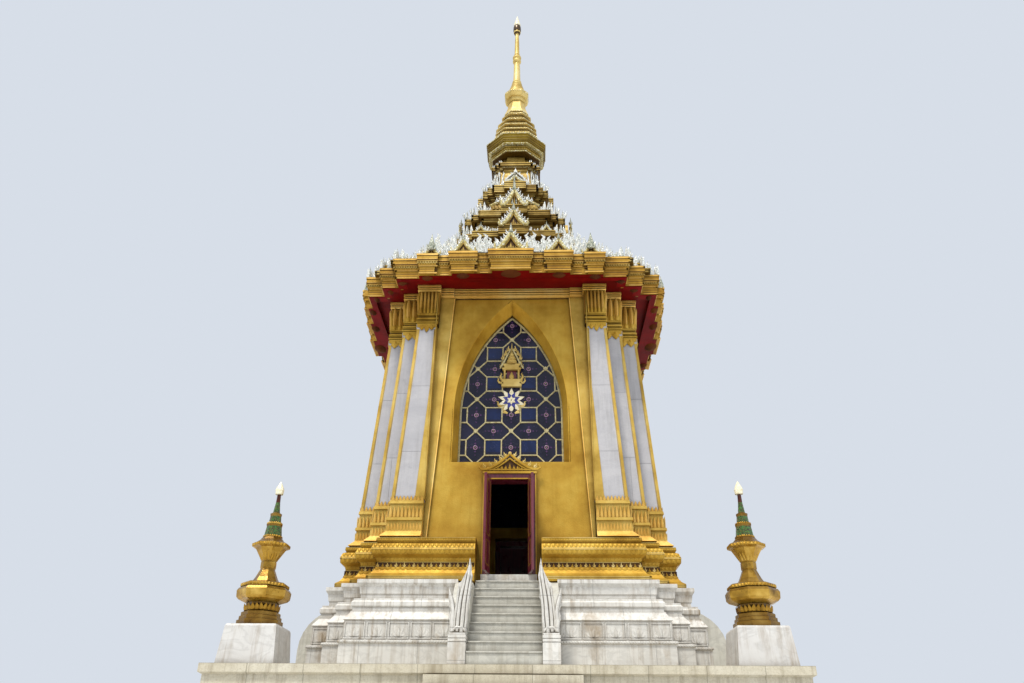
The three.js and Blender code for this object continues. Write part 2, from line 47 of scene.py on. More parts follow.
# Dimensions of the solids
STEP_D = 0.46
BAY_SIDE, BAY_FACE, BATTER = 2.0503, 3.5, 0.0495
GOLD_TOP, CORNICE_TOP = 5.05, 12.66
WINDOW_HALF, WINDOW_SILL, WINDOW_SPRING, WINDOW_APEX = 1.36, 7.05, 8.53, 11.6
ARCH_BAND, ARCH_TIP_GROWTH, ARCH_STEPS = 0.13, 2.5, 24
GLASS_PLANE = -3.0603
DOOR_HALF, DOOR_PLANE, DOOR_FACE, DOOR_FOOT = 0.5, 3.61, -3.53, 4.27
LEAF_TURN = math.radians(-100)
STRIP_FOOT, STRIP_TOP, STRIP_FOOT_X, STRIP_SLOPE, STRIP_PROUD = 5.11, 11.98, 1.965, 0.0527, 0.06
STAIR_TOP_Y, STAIR_TOP, RISER, TREAD, TREADS = 3.62, 4.26, 0.216, 0.243, 9
BESIDE_STAIR, BESIDE_WALLS = 0.78, 1.12
LAMP_AT = 5.1
OCT = math.pi / 8
QUARTER = math.pi / 2
# A corner pier, as (height, half width)
PIER = [(5.05, 3.85), (5.15, 3.80), (5.95, 3.745), (10.8, 3.48), (10.98, 3.455), (11.3, 3.44), (12.0, 3.44),
        (12.05, 3.49), (12.2, 3.49)]

# Camera and light
CAMERA_AT = (0.636, -22.0, 0.406)
PITCH, YAW, ROLL = math.radians(28.38), math.radians(1.9), math.radians(0.53)
SENSOR, LENS, FAR = 36, 27.5625, 500
FLOOR_HALF, FLOOR_Z = 150.0, -0.002
SKY_TINT, SKY_STRENGTH = (0.80, 0.86, 0.95, 1), 0.85
# Each sun as (name, direction, strength, spread in degrees, tint)
SUNS = [("key", (0.22, 0.42, -1.0), 3.0, 9, (1.0, 0.97, 0.91)),
        ("fill", (-0.5, 0.6, -0.35), 0.4, 60, (0.95, 0.97, 1.0))]


def place_camera():
    ahead = Vector((-math.sin(YAW) * math.cos(PITCH), math.cos(YAW) * math.cos(PITCH), math.sin(PITCH)))
    right = Vector((math.cos(YAW), math.sin(YAW), 0))
    up = right.cross(ahead)
    c, s = math.cos(ROLL), math.sin(ROLL)
    data = bpy.data.cameras.new("view")
    data.sensor_width = SENSOR
    data.lens = LENS
    data.clip_end = FAR
    camera = bpy.data.objects.new("view", data)
    bpy.context.collection.objects.link(camera)
    turn = Matrix((c * right + s * up, c * up - s * right, -ahead)).transposed().to_4x4()
    camera.matrix_world = Matrix.Translation(CAMERA_AT) @ turn
    bpy.context.scene.camera = camera


place_camera()


# Materials
def rgb(r, g, b):
    def line(c):
        c /= 255
        return c / 12.92 if c <= 0.04045 else ((c + 0.055) / 1.055) ** 2.4
    return (line(r), line(g), line(b), 1.0)


def shade(colour, share):
    return tuple(c * share for c in colour[:3]) + (1.0,)


class Look:
    """A material of plain nodes around one shader."""

    def __init__(self, name, rough, metal=0.0, **fixed):
        self.mat = bpy.data.materials.new(name)
        self.mat.use_nodes = True
        self.tree = self.mat.node_tree
        self.tree.nodes.clear()
        out = self.tree.nodes.new("ShaderNodeOutputMaterial")
        self.shade = self.tree.nodes.new("ShaderNodeBsdfPrincipled")
        self.tree.links.new(self.shade.outputs[0], out.inputs[0])
        self.set(self.shade, Roughness=rough, Metallic=metal, **fixed)
        self.where = self.node("TexCoord")["Object"]

    def set(self, made, **values):
        for key, value in values.items():
            made.inputs[key.replace("_", " ")].default_value = value

    def node(self, kind, *values, **settings):
        made = self.tree.nodes.new("ShaderNode" + kind)
        for key, value in settings.items():
            setattr(made, key, value)
        for i, value in enumerate(values):
            self.feed(made.inputs[i], value)
        return made.outputs

    def feed(self, socket, value):
        if isinstance(value, bpy.types.NodeSocket):
            self.tree.links.new(value, socket)
        elif value is not None:
            socket.default_value = value

    def texture(self, kind, where, **values):
        made = self.tree.nodes.new("ShaderNodeTex" + kind)
        self.feed(made.inputs["Vector"], where)
        self.set(made, **values)
        return made

    def math(self, operation, a, b=None):
        return self.node("Math", a, b, operation=operation)[0]

    def times(self, a, b):
        return self.math("MULTIPLY", a, b)

    def noise(self, scale, detail, rough=0.55, warp=0.0):
        """Cloudy noise; three scales stretch it."""
        where = self.where
        if isinstance(scale, tuple):
            where = self.node("VectorMath", where, scale, operation="MULTIPLY")[0]
            scale = 1.0
        return self.texture("Noise", where, Scale=scale, Detail=detail, Roughness=rough,
                            Distortion=warp).outputs[0]

    def cells(self, scale, feature="F1"):
        made = self.texture("Voronoi", self.where, Scale=scale)
        made.feature = feature
        return made.outputs

    def split(self, colour):
        return self.node("SeparateColor", colour)

    def facing_up(self):
        return self.node("SeparateXYZ", self.node("NewGeometry")["Normal"])[2]

    def ramp(self, value, *stops):
        made = self.tree.nodes.new("ShaderNodeValToRGB")
        self.feed(made.inputs[0], value)
        while len(made.color_ramp.elements) < len(stops):
            made.color_ramp.elements.new(0.5)
        for element, (at, colour) in zip(made.color_ramp.elements, stops):
            element.position = at
            element.color = colour if isinstance(colour, tuple) else (colour, colour, colour, 1)
        return made.outputs[0]

    def mix(self, share, a, b):
        made = self.tree.nodes.new("ShaderNodeMix")
        made.data_type = "RGBA"
        for i, value in zip((0, 6, 7), (share, a, b)):
            self.feed(made.inputs[i], value)
        return made.outputs[2]

    def shade_creases(self, colour, reach, share, crease_shade, low=0.35, high=0.9):
        """Painted shade in the creases: darker where ambient occlusion finds them, as far as reach out of
        them.
        """
        light = self.node("AmbientOcclusion", None, reach, samples=6)["AO"]
        return self.mix(self.times(self.ramp(light, (low, 1.0), (high, 0.0)), share), colour, crease_shade)

    def along(self):
        """Distance along whichever way an upright face runs, and the height."""
        n = self.node("SeparateXYZ", self.node("NewGeometry")["Normal"])
        p = self.node("SeparateXYZ", self.where)
        faces_x = self.math("GREATER_THAN", self.math("ABSOLUTE", n[0]), self.math("ABSOLUTE", n[1]))
        return self.node("Mix", faces_x, None, p[0], p[1])[0], p[2]

    def courses(self, wide, tall, joint, shift):
        """Joint lines and a tone per slab."""
        u, z = self.along()
        spot = self.node("CombineXYZ", u, self.math("ADD", z, shift), 0.0)[0]
        made = self.texture("Brick", spot, Color1=(0, 0, 0, 1), Color2=(1, 1, 1, 1),
                            Mortar=(0.5, 0.5, 0.5, 1), Scale=1.0, Mortar_Size=joint, Brick_Width=wide,
                            Row_Height=tall)
        return made.outputs["Fac"], made.outputs["Color"]

    def finish(self, colour, rough=None, bump=None, height=0.01):
        self.feed(self.shade.inputs["Base Color"], colour)
        if rough is not None:
            self.feed(self.shade.inputs["Roughness"], rough)
        if bump is not None:
            made = self.tree.nodes.new("ShaderNodeBump")
            made.inputs["Distance"].default_value = height
            self.feed(made.inputs["Height"], bump)
            self.feed(self.shade.inputs["Normal"], made.outputs[0])
        return self.mat


def gilt(name, base, deep, pale, metal=0.4, rough=0.46, crease_reach=0.12, under=None):
    """Gold paint over stucco: cloudy tone, drips, painted shade in the creases and a slightly uneven skin.

    Faces that look down may take a darker colour, under: painted shade on the undersides."""
    k = Look(name, rough, metal, Specular_IOR_Level=0.22)
    cloud = k.ramp(k.noise(1.1, 5, 0.6), (0.32, deep), (0.52, base), (0.74, pale))
    drips = k.ramp(k.noise((9.0, 9.0, 0.55), 4, 0.65), (0.5, 0.0), (0.78, 1.0))
    colour = k.mix(k.times(drips, 0.38), cloud, deep)
    # Painted shade: faces that look down take the darker under colour.
    if under:
        underside_shade = k.ramp(k.noise(2.0, 5, 0.6), (0.3, shade(under, 0.6)), (0.7, under))
        colour = k.mix(k.math("LESS_THAN", k.facing_up(), -0.6), colour, underside_shade)
    # Painted shade: darker in the creases.
    colour = k.shade_creases(colour, crease_reach, 0.75, shade(deep, 0.22))
    sheen = k.ramp(k.noise(5.0, 4), (0.3, rough - 0.1), (0.7, rough + 0.14))
    return k.finish(colour, sheen, k.noise(26.0, 5, 0.65), 0.006)


def mosaic(name, grout, *tones):
    """Small glazed chips, each its own tone and tilt, with dark grout."""
    k = Look(name, 0.25, 0.15)
    chips = k.split(k.cells(24.0)["Color"])
    edge = k.ramp(k.cells(24.0, "DISTANCE_TO_EDGE")["Distance"], (0.02, 1.0), (0.09, 0.0))
    colour = k.mix(k.times(edge, 0.7), k.ramp(chips[0], *tones), grout)
    tilt = chips[1]
    # Painted shade: the chips darken in the creases.
    return k.finish(k.shade_creases(colour, 0.1, 0.6, grout), k.ramp(tilt, (0.0, 0.12), (1.0, 0.45)),
                    k.math("SUBTRACT", tilt, edge), 0.004)


def stone(name, base, vein, stain, slab, joint, rough, streak, shift, veins=0.25, wash=0.0, speck=None):
    """Sawn stone in slabs: veins, rain streaks, a brown wash, joints and painted shade in the creases."""
    k = Look(name, rough)
    line, tone = k.courses(*slab, joint, shift)
    body = k.mix(k.times(tone, 0.35), base, vein)
    cloud = k.ramp(k.noise((1.5, 1.5, 2.6), 6, 0.68, 0.6), (0.36, 0.0), (0.72, 1.0))
    body = k.mix(k.times(cloud, 0.55), body, vein)
    thread = k.math("ABSOLUTE", k.math("SUBTRACT", k.noise((1.3, 1.3, 2.1), 7, 0.6, 1.4), 0.5))
    body = k.mix(k.ramp(thread, (0.0, veins), (0.06, 0.0)), body, shade(vein, 0.6))
    brown = k.ramp(k.noise((0.9, 0.9, 0.55), 5, 0.66), (0.56, 0.0), (0.7, wash))
    body = k.mix(brown, body, shade(stain, 1.25))
    wet = k.ramp(k.noise((7.5, 7.5, 0.3), 5, 0.68), (0.47, 0.0), (0.7, 1.0))
    patch = k.ramp(k.noise(0.8, 4, 0.6), (0.35, 0.15), (0.65, 1.0))
    body = k.mix(k.times(k.times(wet, patch), streak), body, stain)
    if speck:
        body = k.mix(k.ramp(k.noise(38.0, 3, 0.7), (0.5, 0.0), (0.72, 0.5)), body, speck)
    # Painted shade in the creases.
    body = k.shade_creases(body, 0.22, 0.7, shade(stain, 0.45), 0.3, 0.85)
    body = k.mix(k.times(line, 0.5), body, shade(vein, 0.4))
    pits = k.math("SUBTRACT", k.times(k.noise(22.0, 6, 0.7), 0.4), line)
    return k.finish(body, k.ramp(k.noise(3.0, 4), (0.3, rough - 0.12), (0.7, rough + 0.15)), pits, 0.006)


def soffit_red():
    k = Look("soffit_red", 0.6, Specular_IOR_Level=0.1)
    cloud = k.ramp(k.noise(1.6, 5, 0.6), (0.3, rgb(88, 0, 2)), (0.7, rgb(124, 4, 4)))
    # Painted shade in the creases of the red soffit.
    return k.finish(k.shade_creases(cloud, 0.3, 0.6, rgb(40, 6, 4)), None, k.noise(20.0, 4), 0.004)


def lacquer(name, base, deep):
    """Painted timber with its grain showing through."""
    k = Look(name, 0.32, Coat_Weight=0.25)
    grain = k.noise((26.0, 26.0, 1.2), 6, 0.7, 0.8)
    # Painted shade in the creases, over the grain.
    colour = k.shade_creases(k.mix(k.ramp(grain, (0.4, 0.0), (0.66, 0.8)), base, deep), 0.05, 0.6, shade(deep, 0.3))
    return k.finish(colour, k.ramp(k.noise(6.0, 4), (0.3, 0.24), (0.7, 0.44)), grain, 0.0015)


def leaded(name, base, deep):
    """Dark coloured glass, a little uneven."""
    k = Look(name, 0.2, Specular_IOR_Level=0.35)
    colour = k.ramp(k.noise(2.2, 5, 0.6, 0.5), (0.3, deep), (0.7, base))
    return k.finish(colour, k.ramp(k.noise(9.0, 3), (0.3, 0.14), (0.7, 0.3)), k.noise(7.0, 3), 0.006)


def glaze(name, base, deep, rough, scale, metal=0.0):
    """A smooth coat in two tones, with painted shade in its creases."""
    k = Look(name, rough, metal)
    colour = k.ramp(k.noise(scale, 5, 0.6), (0.3, deep), (0.65, base))
    # Painted shade in the creases.
    return k.finish(k.shade_creases(colour, 0.05, 0.55, shade(deep, 0.35)), None, k.noise(scale * 4, 4), 0.002)


# Gold paints, as (name, base, deep, pale)
GOLD = gilt("gold_paint", rgb(190, 150, 54), rgb(150, 110, 28), rgb(208, 172, 78))
BAY_GOLD = gilt("bay_gold", rgb(184, 146, 54), rgb(158, 118, 34), rgb(202, 168, 74), crease_reach=0.2)
CORNICE = gilt("cornice_gold", rgb(172, 130, 44), rgb(130, 90, 22), rgb(194, 156, 68))
LINE_GOLD = gilt("line_gold", rgb(214, 170, 82), rgb(178, 132, 50), rgb(234, 196, 112), 0.3, 0.42)
# A brighter copy of the gold: painted sunlight, on the architrave, the abacus rolls and a bead on each strip.
SUNLIT = gilt("sunlit_gold", rgb(242, 196, 102), rgb(206, 154, 62), rgb(252, 222, 140), 0.3, 0.42)
# The under colours of the roof and the canopy are painted shade on their undersides.
ROOF = gilt("roof_gold", rgb(164, 136, 66), rgb(110, 82, 28), rgb(208, 182, 112), under=rgb(116, 88, 34))
CANOPY = gilt("canopy_gold", rgb(132, 106, 22), rgb(96, 72, 10), rgb(160, 134, 42), under=rgb(84, 58, 10))
GOLD_DEEP = gilt("gold_deep", rgb(194, 152, 52), rgb(162, 118, 30), rgb(208, 168, 70), crease_reach=0.25)
GOLD_PALE = gilt("gold_pale", rgb(216, 188, 112), rgb(172, 138, 62), rgb(236, 216, 156), 0.3, 0.42)
ARRIS = gilt("arris_gold", rgb(196, 162, 76), rgb(158, 124, 46), rgb(216, 188, 106), 0.3, 0.42)
GOLD_LEAF = gilt("gold_leaf", rgb(190, 146, 52), rgb(120, 82, 16), rgb(224, 190, 100), 0.6, 0.42)
# A dark gold for grooves, grounds, gaps and the backs of rolls: painted shade.
SHADE_GOLD = gilt("painted_shade_gold", rgb(78, 50, 18), rgb(46, 28, 10), rgb(106, 76, 30), 0.1, 0.6)
BROWN_GOLD = gilt("brown_gold", rgb(86, 40, 6), rgb(52, 20, 2), rgb(112, 62, 14), 0.0, 0.9)
BOARD = mosaic("board_chips", rgb(124, 104, 54), (0.0, rgb(172, 150, 84)), (0.4, rgb(204, 188, 118)),
               (0.8, rgb(230, 220, 164)), (1.0, rgb(246, 242, 220)))
WHITE_CHIPS = mosaic("white_chips", rgb(140, 140, 122), (0.0, rgb(196, 204, 196)), (0.3, rgb(236, 238, 234)),
                     (0.7, rgb(254, 254, 250)), (1.0, rgb(240, 232, 208)))
GREY_CHIPS = mosaic("grey_chips", rgb(72, 72, 54), (0.0, rgb(130, 138, 118)), (0.4, rgb(176, 180, 158)),
                    (0.8, rgb(208, 208, 190)), (1.0, rgb(226, 218, 190)))
# Stones, as (name, base, vein, stain, slab, joint, roughness, streaks, shift of the courses)
PILASTER = stone("pilaster_marble", rgb(188, 185, 185), rgb(158, 156, 160), rgb(126, 122, 116), (3.0, 1.84),
                 0.004, 0.38, 0.45, 0.13, veins=0.08, speck=rgb(158, 156, 160))
MARBLE = stone("white_marble", rgb(230, 227, 220), rgb(200, 196, 187), rgb(142, 122, 92), (1.25, 0.62), 0.005,
               0.5, 0.9, 0.31, wash=0.75)
WORN = stone("worn_marble", rgb(206, 203, 191), rgb(176, 172, 160), rgb(136, 126, 104), (30.0, 3.0), 0.0005,
             0.55, 0.6, 0.2, wash=0.3)
PLINTH = stone("plinth_marble", rgb(214, 211, 206), rgb(188, 184, 178), rgb(150, 134, 112), (30.0, 30.0),
               0.0005, 0.5, 0.95, 0.4, wash=0.4)
BEIGE = stone("beige_stone", rgb(212, 205, 186), rgb(188, 177, 150), rgb(124, 108, 82), (1.1, 0.42), 0.008,
              0.75, 0.75, 0.0, veins=0.2, wash=0.25, speck=rgb(158, 142, 110))
SOFFIT = soffit_red()
MAROON = lacquer("maroon_lacquer", rgb(112, 34, 48), rgb(62, 12, 24))
GLASS = leaded("navy_glass", rgb(30, 30, 54), rgb(14, 14, 30))
GLASS_BLUE = leaded("blue_glass", rgb(24, 40, 84), rgb(12, 22, 54))
CAME = glaze("came", rgb(206, 194, 146), rgb(150, 134, 88), 0.35, 14.0, 0.2)
ROSE = glaze("rose_glass", rgb(166, 128, 150), rgb(106, 70, 104), 0.25, 20.0)
PLUM = glaze("plum_glass", rgb(78, 46, 92), rgb(46, 26, 62), 0.25, 18.0)
BLUE = glaze("royal_blue", rgb(62, 68, 150), rgb(34, 38, 100), 0.25, 12.0)
BUD_WHITE = glaze("white_glaze", rgb(248, 240, 212), rgb(226, 210, 164), 0.2, 12.0)
DARK = glaze("dark_brass", rgb(92, 68, 34), rgb(40, 28, 14), 0.3, 16.0, 0.5)
# Material numbers of the ornament on the roof and of the pediments
PLAIN, WHITE, SHADE_GROUND, GREY, BOARDS = range(5)
ROOF_LOOKS = [ROOF, WHITE_CHIPS, SHADE_GOLD, GREY_CHIPS, BOARD]


# Mesh building
class Shape:
    """Closed parts gathered into one mesh, each with a material number."""

    def __init__(self):
        self.points, self.faces, self.looks, self.count = [], [], [], 0

    def put(self, part, at=None, look=0):
        points, faces = np.asarray(part[0], float), part[1]
        if at is not None:
            m = np.array(at)
            points = points @ m[:3, :3].T + m[:3, 3]
        self.faces += [tuple(i + self.count for i in f) for f in faces]
        self.looks += [look] * len(faces)
        self.points.append(points)
        self.count += len(points)

    def bar(self, path, radii, at, look, sides=6, flat=0.8):
        self.put(horn(path, radii, sides, flat), at, look)

    def make(self, name, looks, slot, body="building", smooth=None):
        mesh = bpy.data.meshes.new(name)
        mesh.from_pydata(np.concatenate(self.points).tolist(), [], self.faces)
        for look in looks:
            mesh.materials.append(look)
        mesh.polygons.foreach_set("material_index", self.looks)
        work = bmesh.new()
        work.from_mesh(mesh)
        bmesh.ops.recalc_face_normals(work, faces=work.faces)
        for face in work.faces:
            face.smooth = smooth is not None
        work.to_mesh(mesh)
        work.free()
        if smooth is not None:
            mesh.set_sharp_from_angle(angle=math.radians(smooth))
        made = bpy.data.objects.new(name, mesh)
        bpy.context.collection.objects.link(made)
        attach(made, body)
        return made


def loft(rings):
    n = len(rings[0])
    points = [p for ring in rings for p in ring]
    faces = [tuple(range(n))[::-1], tuple(range(len(points) - n, len(points)))]
    for k in range(len(rings) - 1):
        for i in range(n):
            a, b = k * n + i, k * n + (i + 1) % n
            faces.append((a, b, b + n, a + n))
    return points, faces


def flat_ring(x0, x1, y0, y1, z):
    return [(x0, y0, z), (x1, y0, z), (x1, y1, z), (x0, y1, z)]


def box(x0, x1, y0, y1, z0, z1):
    return loft([flat_ring(x0, x1, y0, y1, z) for z in (z0, z1)])


def turned(profile, count, turn=0.0):
    """A profile of (height, radius) turned about the upright axis."""
    angles = [turn + i * 2 * math.pi / count for i in range(count)]
    return loft([[(r * math.cos(a), r * math.sin(a), z) for a in angles] for z, r in profile])


def prism(outline, y0, y1):
    return loft([[(x, y, z) for x, z in outline] for y in (y0, y1)])


# Outlines of a petal, as (share of the height, half width, ridge)
POINTED = [(0, None, 0.7), (0.2, 0.49, 1), (0.45, 0.45, 1), (0.7, 0.27, 0.8), (0.88, 0.11, 0.55),
           (1, 0.012, 0.2)]
ROUNDED = [(0, None, 0.7), (0.25, 0.44, 1), (0.55, 0.5, 1.1), (0.78, 0.43, 1), (0.93, 0.25, 0.7),
           (1, 0.05, 0.3)]
SHOULDER = 0.45


def leaf(wide, tall, thick, curl=0.0, waist=0.38, form=POINTED):
    """A lotus petal from its foot up, ridge towards -Y, its tip leaning out by curl."""
    rings = []
    for up, half, ridge in form:
        x = (waist if half is None else half) * wide
        y = -curl * up * up
        crest = y - thick * ridge
        slope = y - thick * ridge * 0.8
        rings.append([(-x, y, tall * up), (-x * SHOULDER, slope, tall * up), (0, crest, tall * up),
                      (x * SHOULDER, slope, tall * up), (x, y, tall * up)])
    return loft(rings)


def horn(path, radii, sides, flat, scale=1.0):
    """A tapering curved bar in the XZ plane, its thickness along Y."""
    rings = []
    points = [Vector((x * scale, 0, z * scale)) for x, z in path]
    for i, p in enumerate(points):
        along = (points[min(len(points) - 1, i + 1)] - points[max(0, i - 1)]).normalized()
        across = Vector((along.z, 0, -along.x))
        r = radii[i] * scale
        ring = []
        for j in range(sides):
            a = 2 * math.pi * j / sides
            ring.append(tuple(p + across * (r * math.cos(a)) + Vector((0, r * flat * math.sin(a), 0))))
        rings.append(ring)
    return loft(rings)


# Carved ornaments one metre tall: bars that grow from one foot, as (sides, path, radii)
KANOK = [
    (6, [(0, 0), (-0.05, 0.18), (0.0, 0.38), (0.11, 0.56), (0.10, 0.74), (0.02, 0.87), (0.12, 1.0)],
     [0.13, 0.15, 0.13, 0.10, 0.075, 0.05, 0.006]),
    (6, [(0.05, 0.05), (0.2, 0.13), (0.31, 0.28), (0.27, 0.43), (0.36, 0.56)],
     [0.09, 0.09, 0.07, 0.045, 0.005]),
    (6, [(-0.05, 0.12), (-0.18, 0.26), (-0.17, 0.42), (-0.25, 0.54)], [0.08, 0.07, 0.045, 0.005])]
FLAME = [
    (4, [(0, 0), (-0.05, 0.2), (0.09, 0.5), (0.10, 0.74), (0.02, 0.87), (0.12, 1.0)],
     [0.13, 0.15, 0.12, 0.08, 0.05, 0.006]),
    (4, [(0.05, 0.05), (0.3, 0.26), (0.36, 0.56)], [0.09, 0.08, 0.005]),
    (4, [(-0.05, 0.12), (-0.18, 0.32), (-0.25, 0.54)], [0.08, 0.06, 0.005])]
SPIKE = [
    (6, [(0, 0), (0, 0.16), (0, 0.34), (0, 0.55), (0.0, 0.78), (0.0, 1.0)],
     [0.13, 0.17, 0.17, 0.11, 0.05, 0.006]),
    (5, [(0.08, 0.02), (0.2, 0.1), (0.19, 0.26), (0.26, 0.38)], [0.06, 0.06, 0.04, 0.004]),
    (5, [(-0.08, 0.02), (-0.2, 0.1), (-0.19, 0.26), (-0.26, 0.38)], [0.06, 0.06, 0.04, 0.004])]
BLADES = [(4, [(-0.14, 0), (-0.15, 0.3), (-0.13, 0.62), (-0.1, 1.0)], [0.1, 0.14, 0.1, 0.006]),
          (4, [(0.14, 0), (0.16, 0.28), (0.19, 0.58), (0.26, 0.92)], [0.1, 0.13, 0.09, 0.006])]
HOOK = [
    (5, [(-0.15, 0), (0.15, 0.04), (0.42, 0.16), (0.55, 0.38), (0.48, 0.6), (0.5, 0.8), (0.66, 1.0)],
     [0.16, 0.18, 0.17, 0.14, 0.11, 0.06, 0.006]),
    (4, [(0.5, 0.3), (0.68, 0.36), (0.76, 0.5), (0.88, 0.56)], [0.09, 0.08, 0.05, 0.005]),
    (4, [(0.2, 0.1), (0.22, 0.3), (0.16, 0.46), (0.22, 0.6)], [0.09, 0.08, 0.05, 0.005])]


def grown(bars, tall, flat):
    points, faces = [], []
    for sides, path, radii in bars:
        base = len(points)
        part = horn(path, radii, sides, flat, tall)
        points += part[0]
        faces += [tuple(i + base for i in f) for f in part[1]]
    return points, faces


def kanok(tall, flat=0.6):
    """A flame with two side tongues, leaning towards +X."""
    return grown(KANOK, tall, flat)


def flame(tall, flat=0.7):
    """A small flame with flat facets, leaning towards +X."""
    return grown(FLAME, tall, flat)


def spike(tall, flat=0.55):
    """An upright leaf-shaped ornament with small curls at its foot."""
    return grown(SPIKE, tall, flat)


def move(x=0.0, y=0.0, z=0.0):
    return Matrix.Translation((x, y, z))


def spin(angle, axis="Z"):
    return Matrix.Rotation(angle, 4, axis)


def tip_out(degrees):
    return spin(math.radians(degrees), "Y")


def tilted(angle):
    return spin(angle, "X")


STILL = Matrix.Identity(4)
MIRROR = Matrix.Diagonal((-1, 1, 1, 1))
HANG = spin(math.pi, "Y")
PAIR = (("left", STILL), ("right", MIRROR))


def both(at):
    return at, at @ MIRROR


SIDES = [spin(k * QUARTER) for k in range(4)]
HALVES = [m for side in SIDES for m in both(side)]
EIGHT = [spin(k * math.pi / 4) for k in range(8)]
LAMPS = [move(x * LAMP_AT, y * LAMP_AT) for x, y in ((1, -1), (1, 1), (-1, 1), (-1, -1))]


def lean(z):
    """How far a bay face has leaned back at a height."""
    return max(0.0, z - GOLD_TOP) * BATTER


def glass_y(z):
    return GLASS_PLANE + lean(z)


def pier_half(z):
    for (z0, a0), (z1, a1) in zip(PIER, PIER[1:]):
        if z <= z1:
            return a0 + (a1 - a0) * (z - z0) / (z1 - z0)
    return PIER[-1][1]


def runs(a, d, first=0.0):
    """Front-facing faces of the right half of a redented square: (x0, x1, y)."""
    return [(first, a - 2 * d, -a), (a - 2 * d, a - d, -(a - d)), (a - d, a, -(a - 2 * d))]


def around(a, d, first=0.0):
    """Every such face all round: (placement, x0, x1, y)."""
    return [(m, *run) for m in HALVES for run in runs(a, d, first)]


def pier_run(z, i):
    """Face i of a pier at a height."""
    return runs(pier_half(z), STEP_D, BAY_SIDE)[i]


def spaced(x0, x1, wide, count=None):
    """Pitch and centres of parts side by side, as many as fit or just that many."""
    count = count or max(1, round((x1 - x0) / wide))
    pitch = (x1 - x0) / count
    return pitch, [x0 + (j + 0.5) * pitch for j in range(count)]


def row(shape, part, wide, x0, x1, y, z, at, look=0, turn=STILL):
    """The same small part side by side along a run. A function makes it to fit the pitch."""
    pitch, centres = spaced(x0, x1, wide)
    if callable(part):
        part = part(pitch)
    for x in centres:
        shape.put(part, at @ move(x, y, z) @ turn, look)


def eight_row(shape, part, wide, radius, z, look=0, tilt=0.0, at=STILL):
    """The same along the eight faces of an octagon whose corners stand at that radius."""
    half = radius * math.sin(OCT)
    for turn in EIGHT:
        row(shape, part, wide, -half, half, -radius * math.cos(OCT), z, at @ turn, look, tilted(tilt))


def chamfer_row(shape, part, wide, half, front, z, look=0, tilt=0.0):
    """The same along the eight faces of a square with cut corners."""
    cut = (half - front) / math.sqrt(2)
    away = (half + front) / math.sqrt(2)
    for side in SIDES:
        row(shape, part, wide, -front, front, -half, z, side, look, tilted(tilt))
        row(shape, part, wide, -cut, cut, -away, z, side @ spin(QUARTER / 2), look, tilted(tilt))


FILLET, GROOVE, FILLET_PROUD, GROOVE_PROUD = 0.05, 0.028, (0.022, 0.012), 0.003


def fascia(shape, m, x0, x1, y, z0, z1, deep=0.05):
    """Gilt fillets with grooves between them painted dark as shade, from the top of a band down."""
    z, k = z1 + 0.004, 0
    while z - z0 > 0.02:
        groove = k % 2
        proud = GROOVE_PROUD if groove else FILLET_PROUD[k // 2 % 2]
        below = z - (GROOVE if groove else FILLET)
        foot = below if below > z0 else z0 - 0.004
        shape.put(box(x0, x1 + proud, y - proud, y + deep, foot, z), m, SHADE_GROUND if groove else PLAIN)
        z = below
        k += 1


# Pediments for the roof and over the doors, in shares of their half width and height
BARGE = [(0, 1.0), (0.2, 0.74), (0.45, 0.45), (0.72, 0.19), (0.95, 0.06), (1.14, 0.05), (1.24, 0.16),
         (1.19, 0.32), (1.28, 0.46)]
BARGE_RADII = [0.07, 0.09, 0.1, 0.1, 0.1, 0.09, 0.075, 0.045, 0.005]
INNER_BOARD = [(0, 0.74), (0.2, 0.5), (0.45, 0.25), (0.7, 0.05)]
BARGE_FLAMES = [(0.16, 0.86), (0.34, 0.64), (0.54, 0.45), (0.76, 0.28), (1.0, 0.16)]


def gable(shape, at, half, high, spear, thick=0.05, wing=0.0):
    """A steep pediment: field painted dark as shade, pale inner board, thick bargeboards with hooked ends.

    Wings add low outer boards and turn the small leaves of the field into tall ribs."""
    def sized(path):
        return [(x * half, z * high) for x, z in path]

    shape.put(prism([(-half * 0.8, 0), (half * 0.8, 0), (0, high * 0.8)], 0.0, -thick * 0.5), at, SHADE_GROUND)
    shape.put(box(-half * 0.95, half * 0.95, -thick * 1.3, 0, 0, high * 0.07), at, PLAIN)
    for i in (-2, -1, 0, 1, 2):
        tall = high * (0.62 - 0.17 * abs(i)) if wing else high * 0.16
        shape.bar([(0, 0), (-0.02 * i * high, tall)], [0.04 * high, 0.02 * high],
                  at @ move(i * half * 0.21, -thick * 0.7, high * 0.05), GREY if wing and i % 2 else PLAIN)
    if not wing:
        shape.put(spike(high * 0.34, 0.3), at @ move(0, -thick * 0.6, high * 0.1), PLAIN)
    for m in both(at):
        shape.bar(sized(INNER_BOARD), [0.05 * high] * 4, m @ move(0, -thick * 0.9), PLAIN, flat=0.7)
        shape.bar(sized(BARGE), [r * high for r in BARGE_RADII], m @ move(0, -thick), BOARDS, flat=0.7)
        for x, z in sized(BARGE_FLAMES):
            shape.put(kanok(high * 0.32), m @ move(x, -thick, z) @ tip_out(24), WHITE)
        if wing:
            shape.bar([(half * 1.1, high * 0.4), (wing * 0.76, high * 0.19), (wing, high * 0.03)],
                      [0.045, 0.05, 0.04], m @ move(0, -thick * 0.4), BOARDS)
            for x, z, tall in ((1.2, 0.34, 0.34), (1.55, 0.22, 0.28)):
                shape.put(kanok(high * tall, 0.5), m @ move(half * x, -thick, high * z) @ tip_out(10), WHITE)
    ball = [(0.93, 0.05), (0.98, 0.1), (1.06, 0.11), (1.13, 0.06)]
    shape.put(turned([(z * high, r * high) for z, r in ball], 10), at @ move(0, -thick), GREY)
    if spear:
        shape.put(horn([(0, 1.08), (0, 1.16), (0, 1.12 + spear)], [0.06, 0.07, 0.006], 6, 0.7, high),
                  at @ move(0, -thick), GREY)


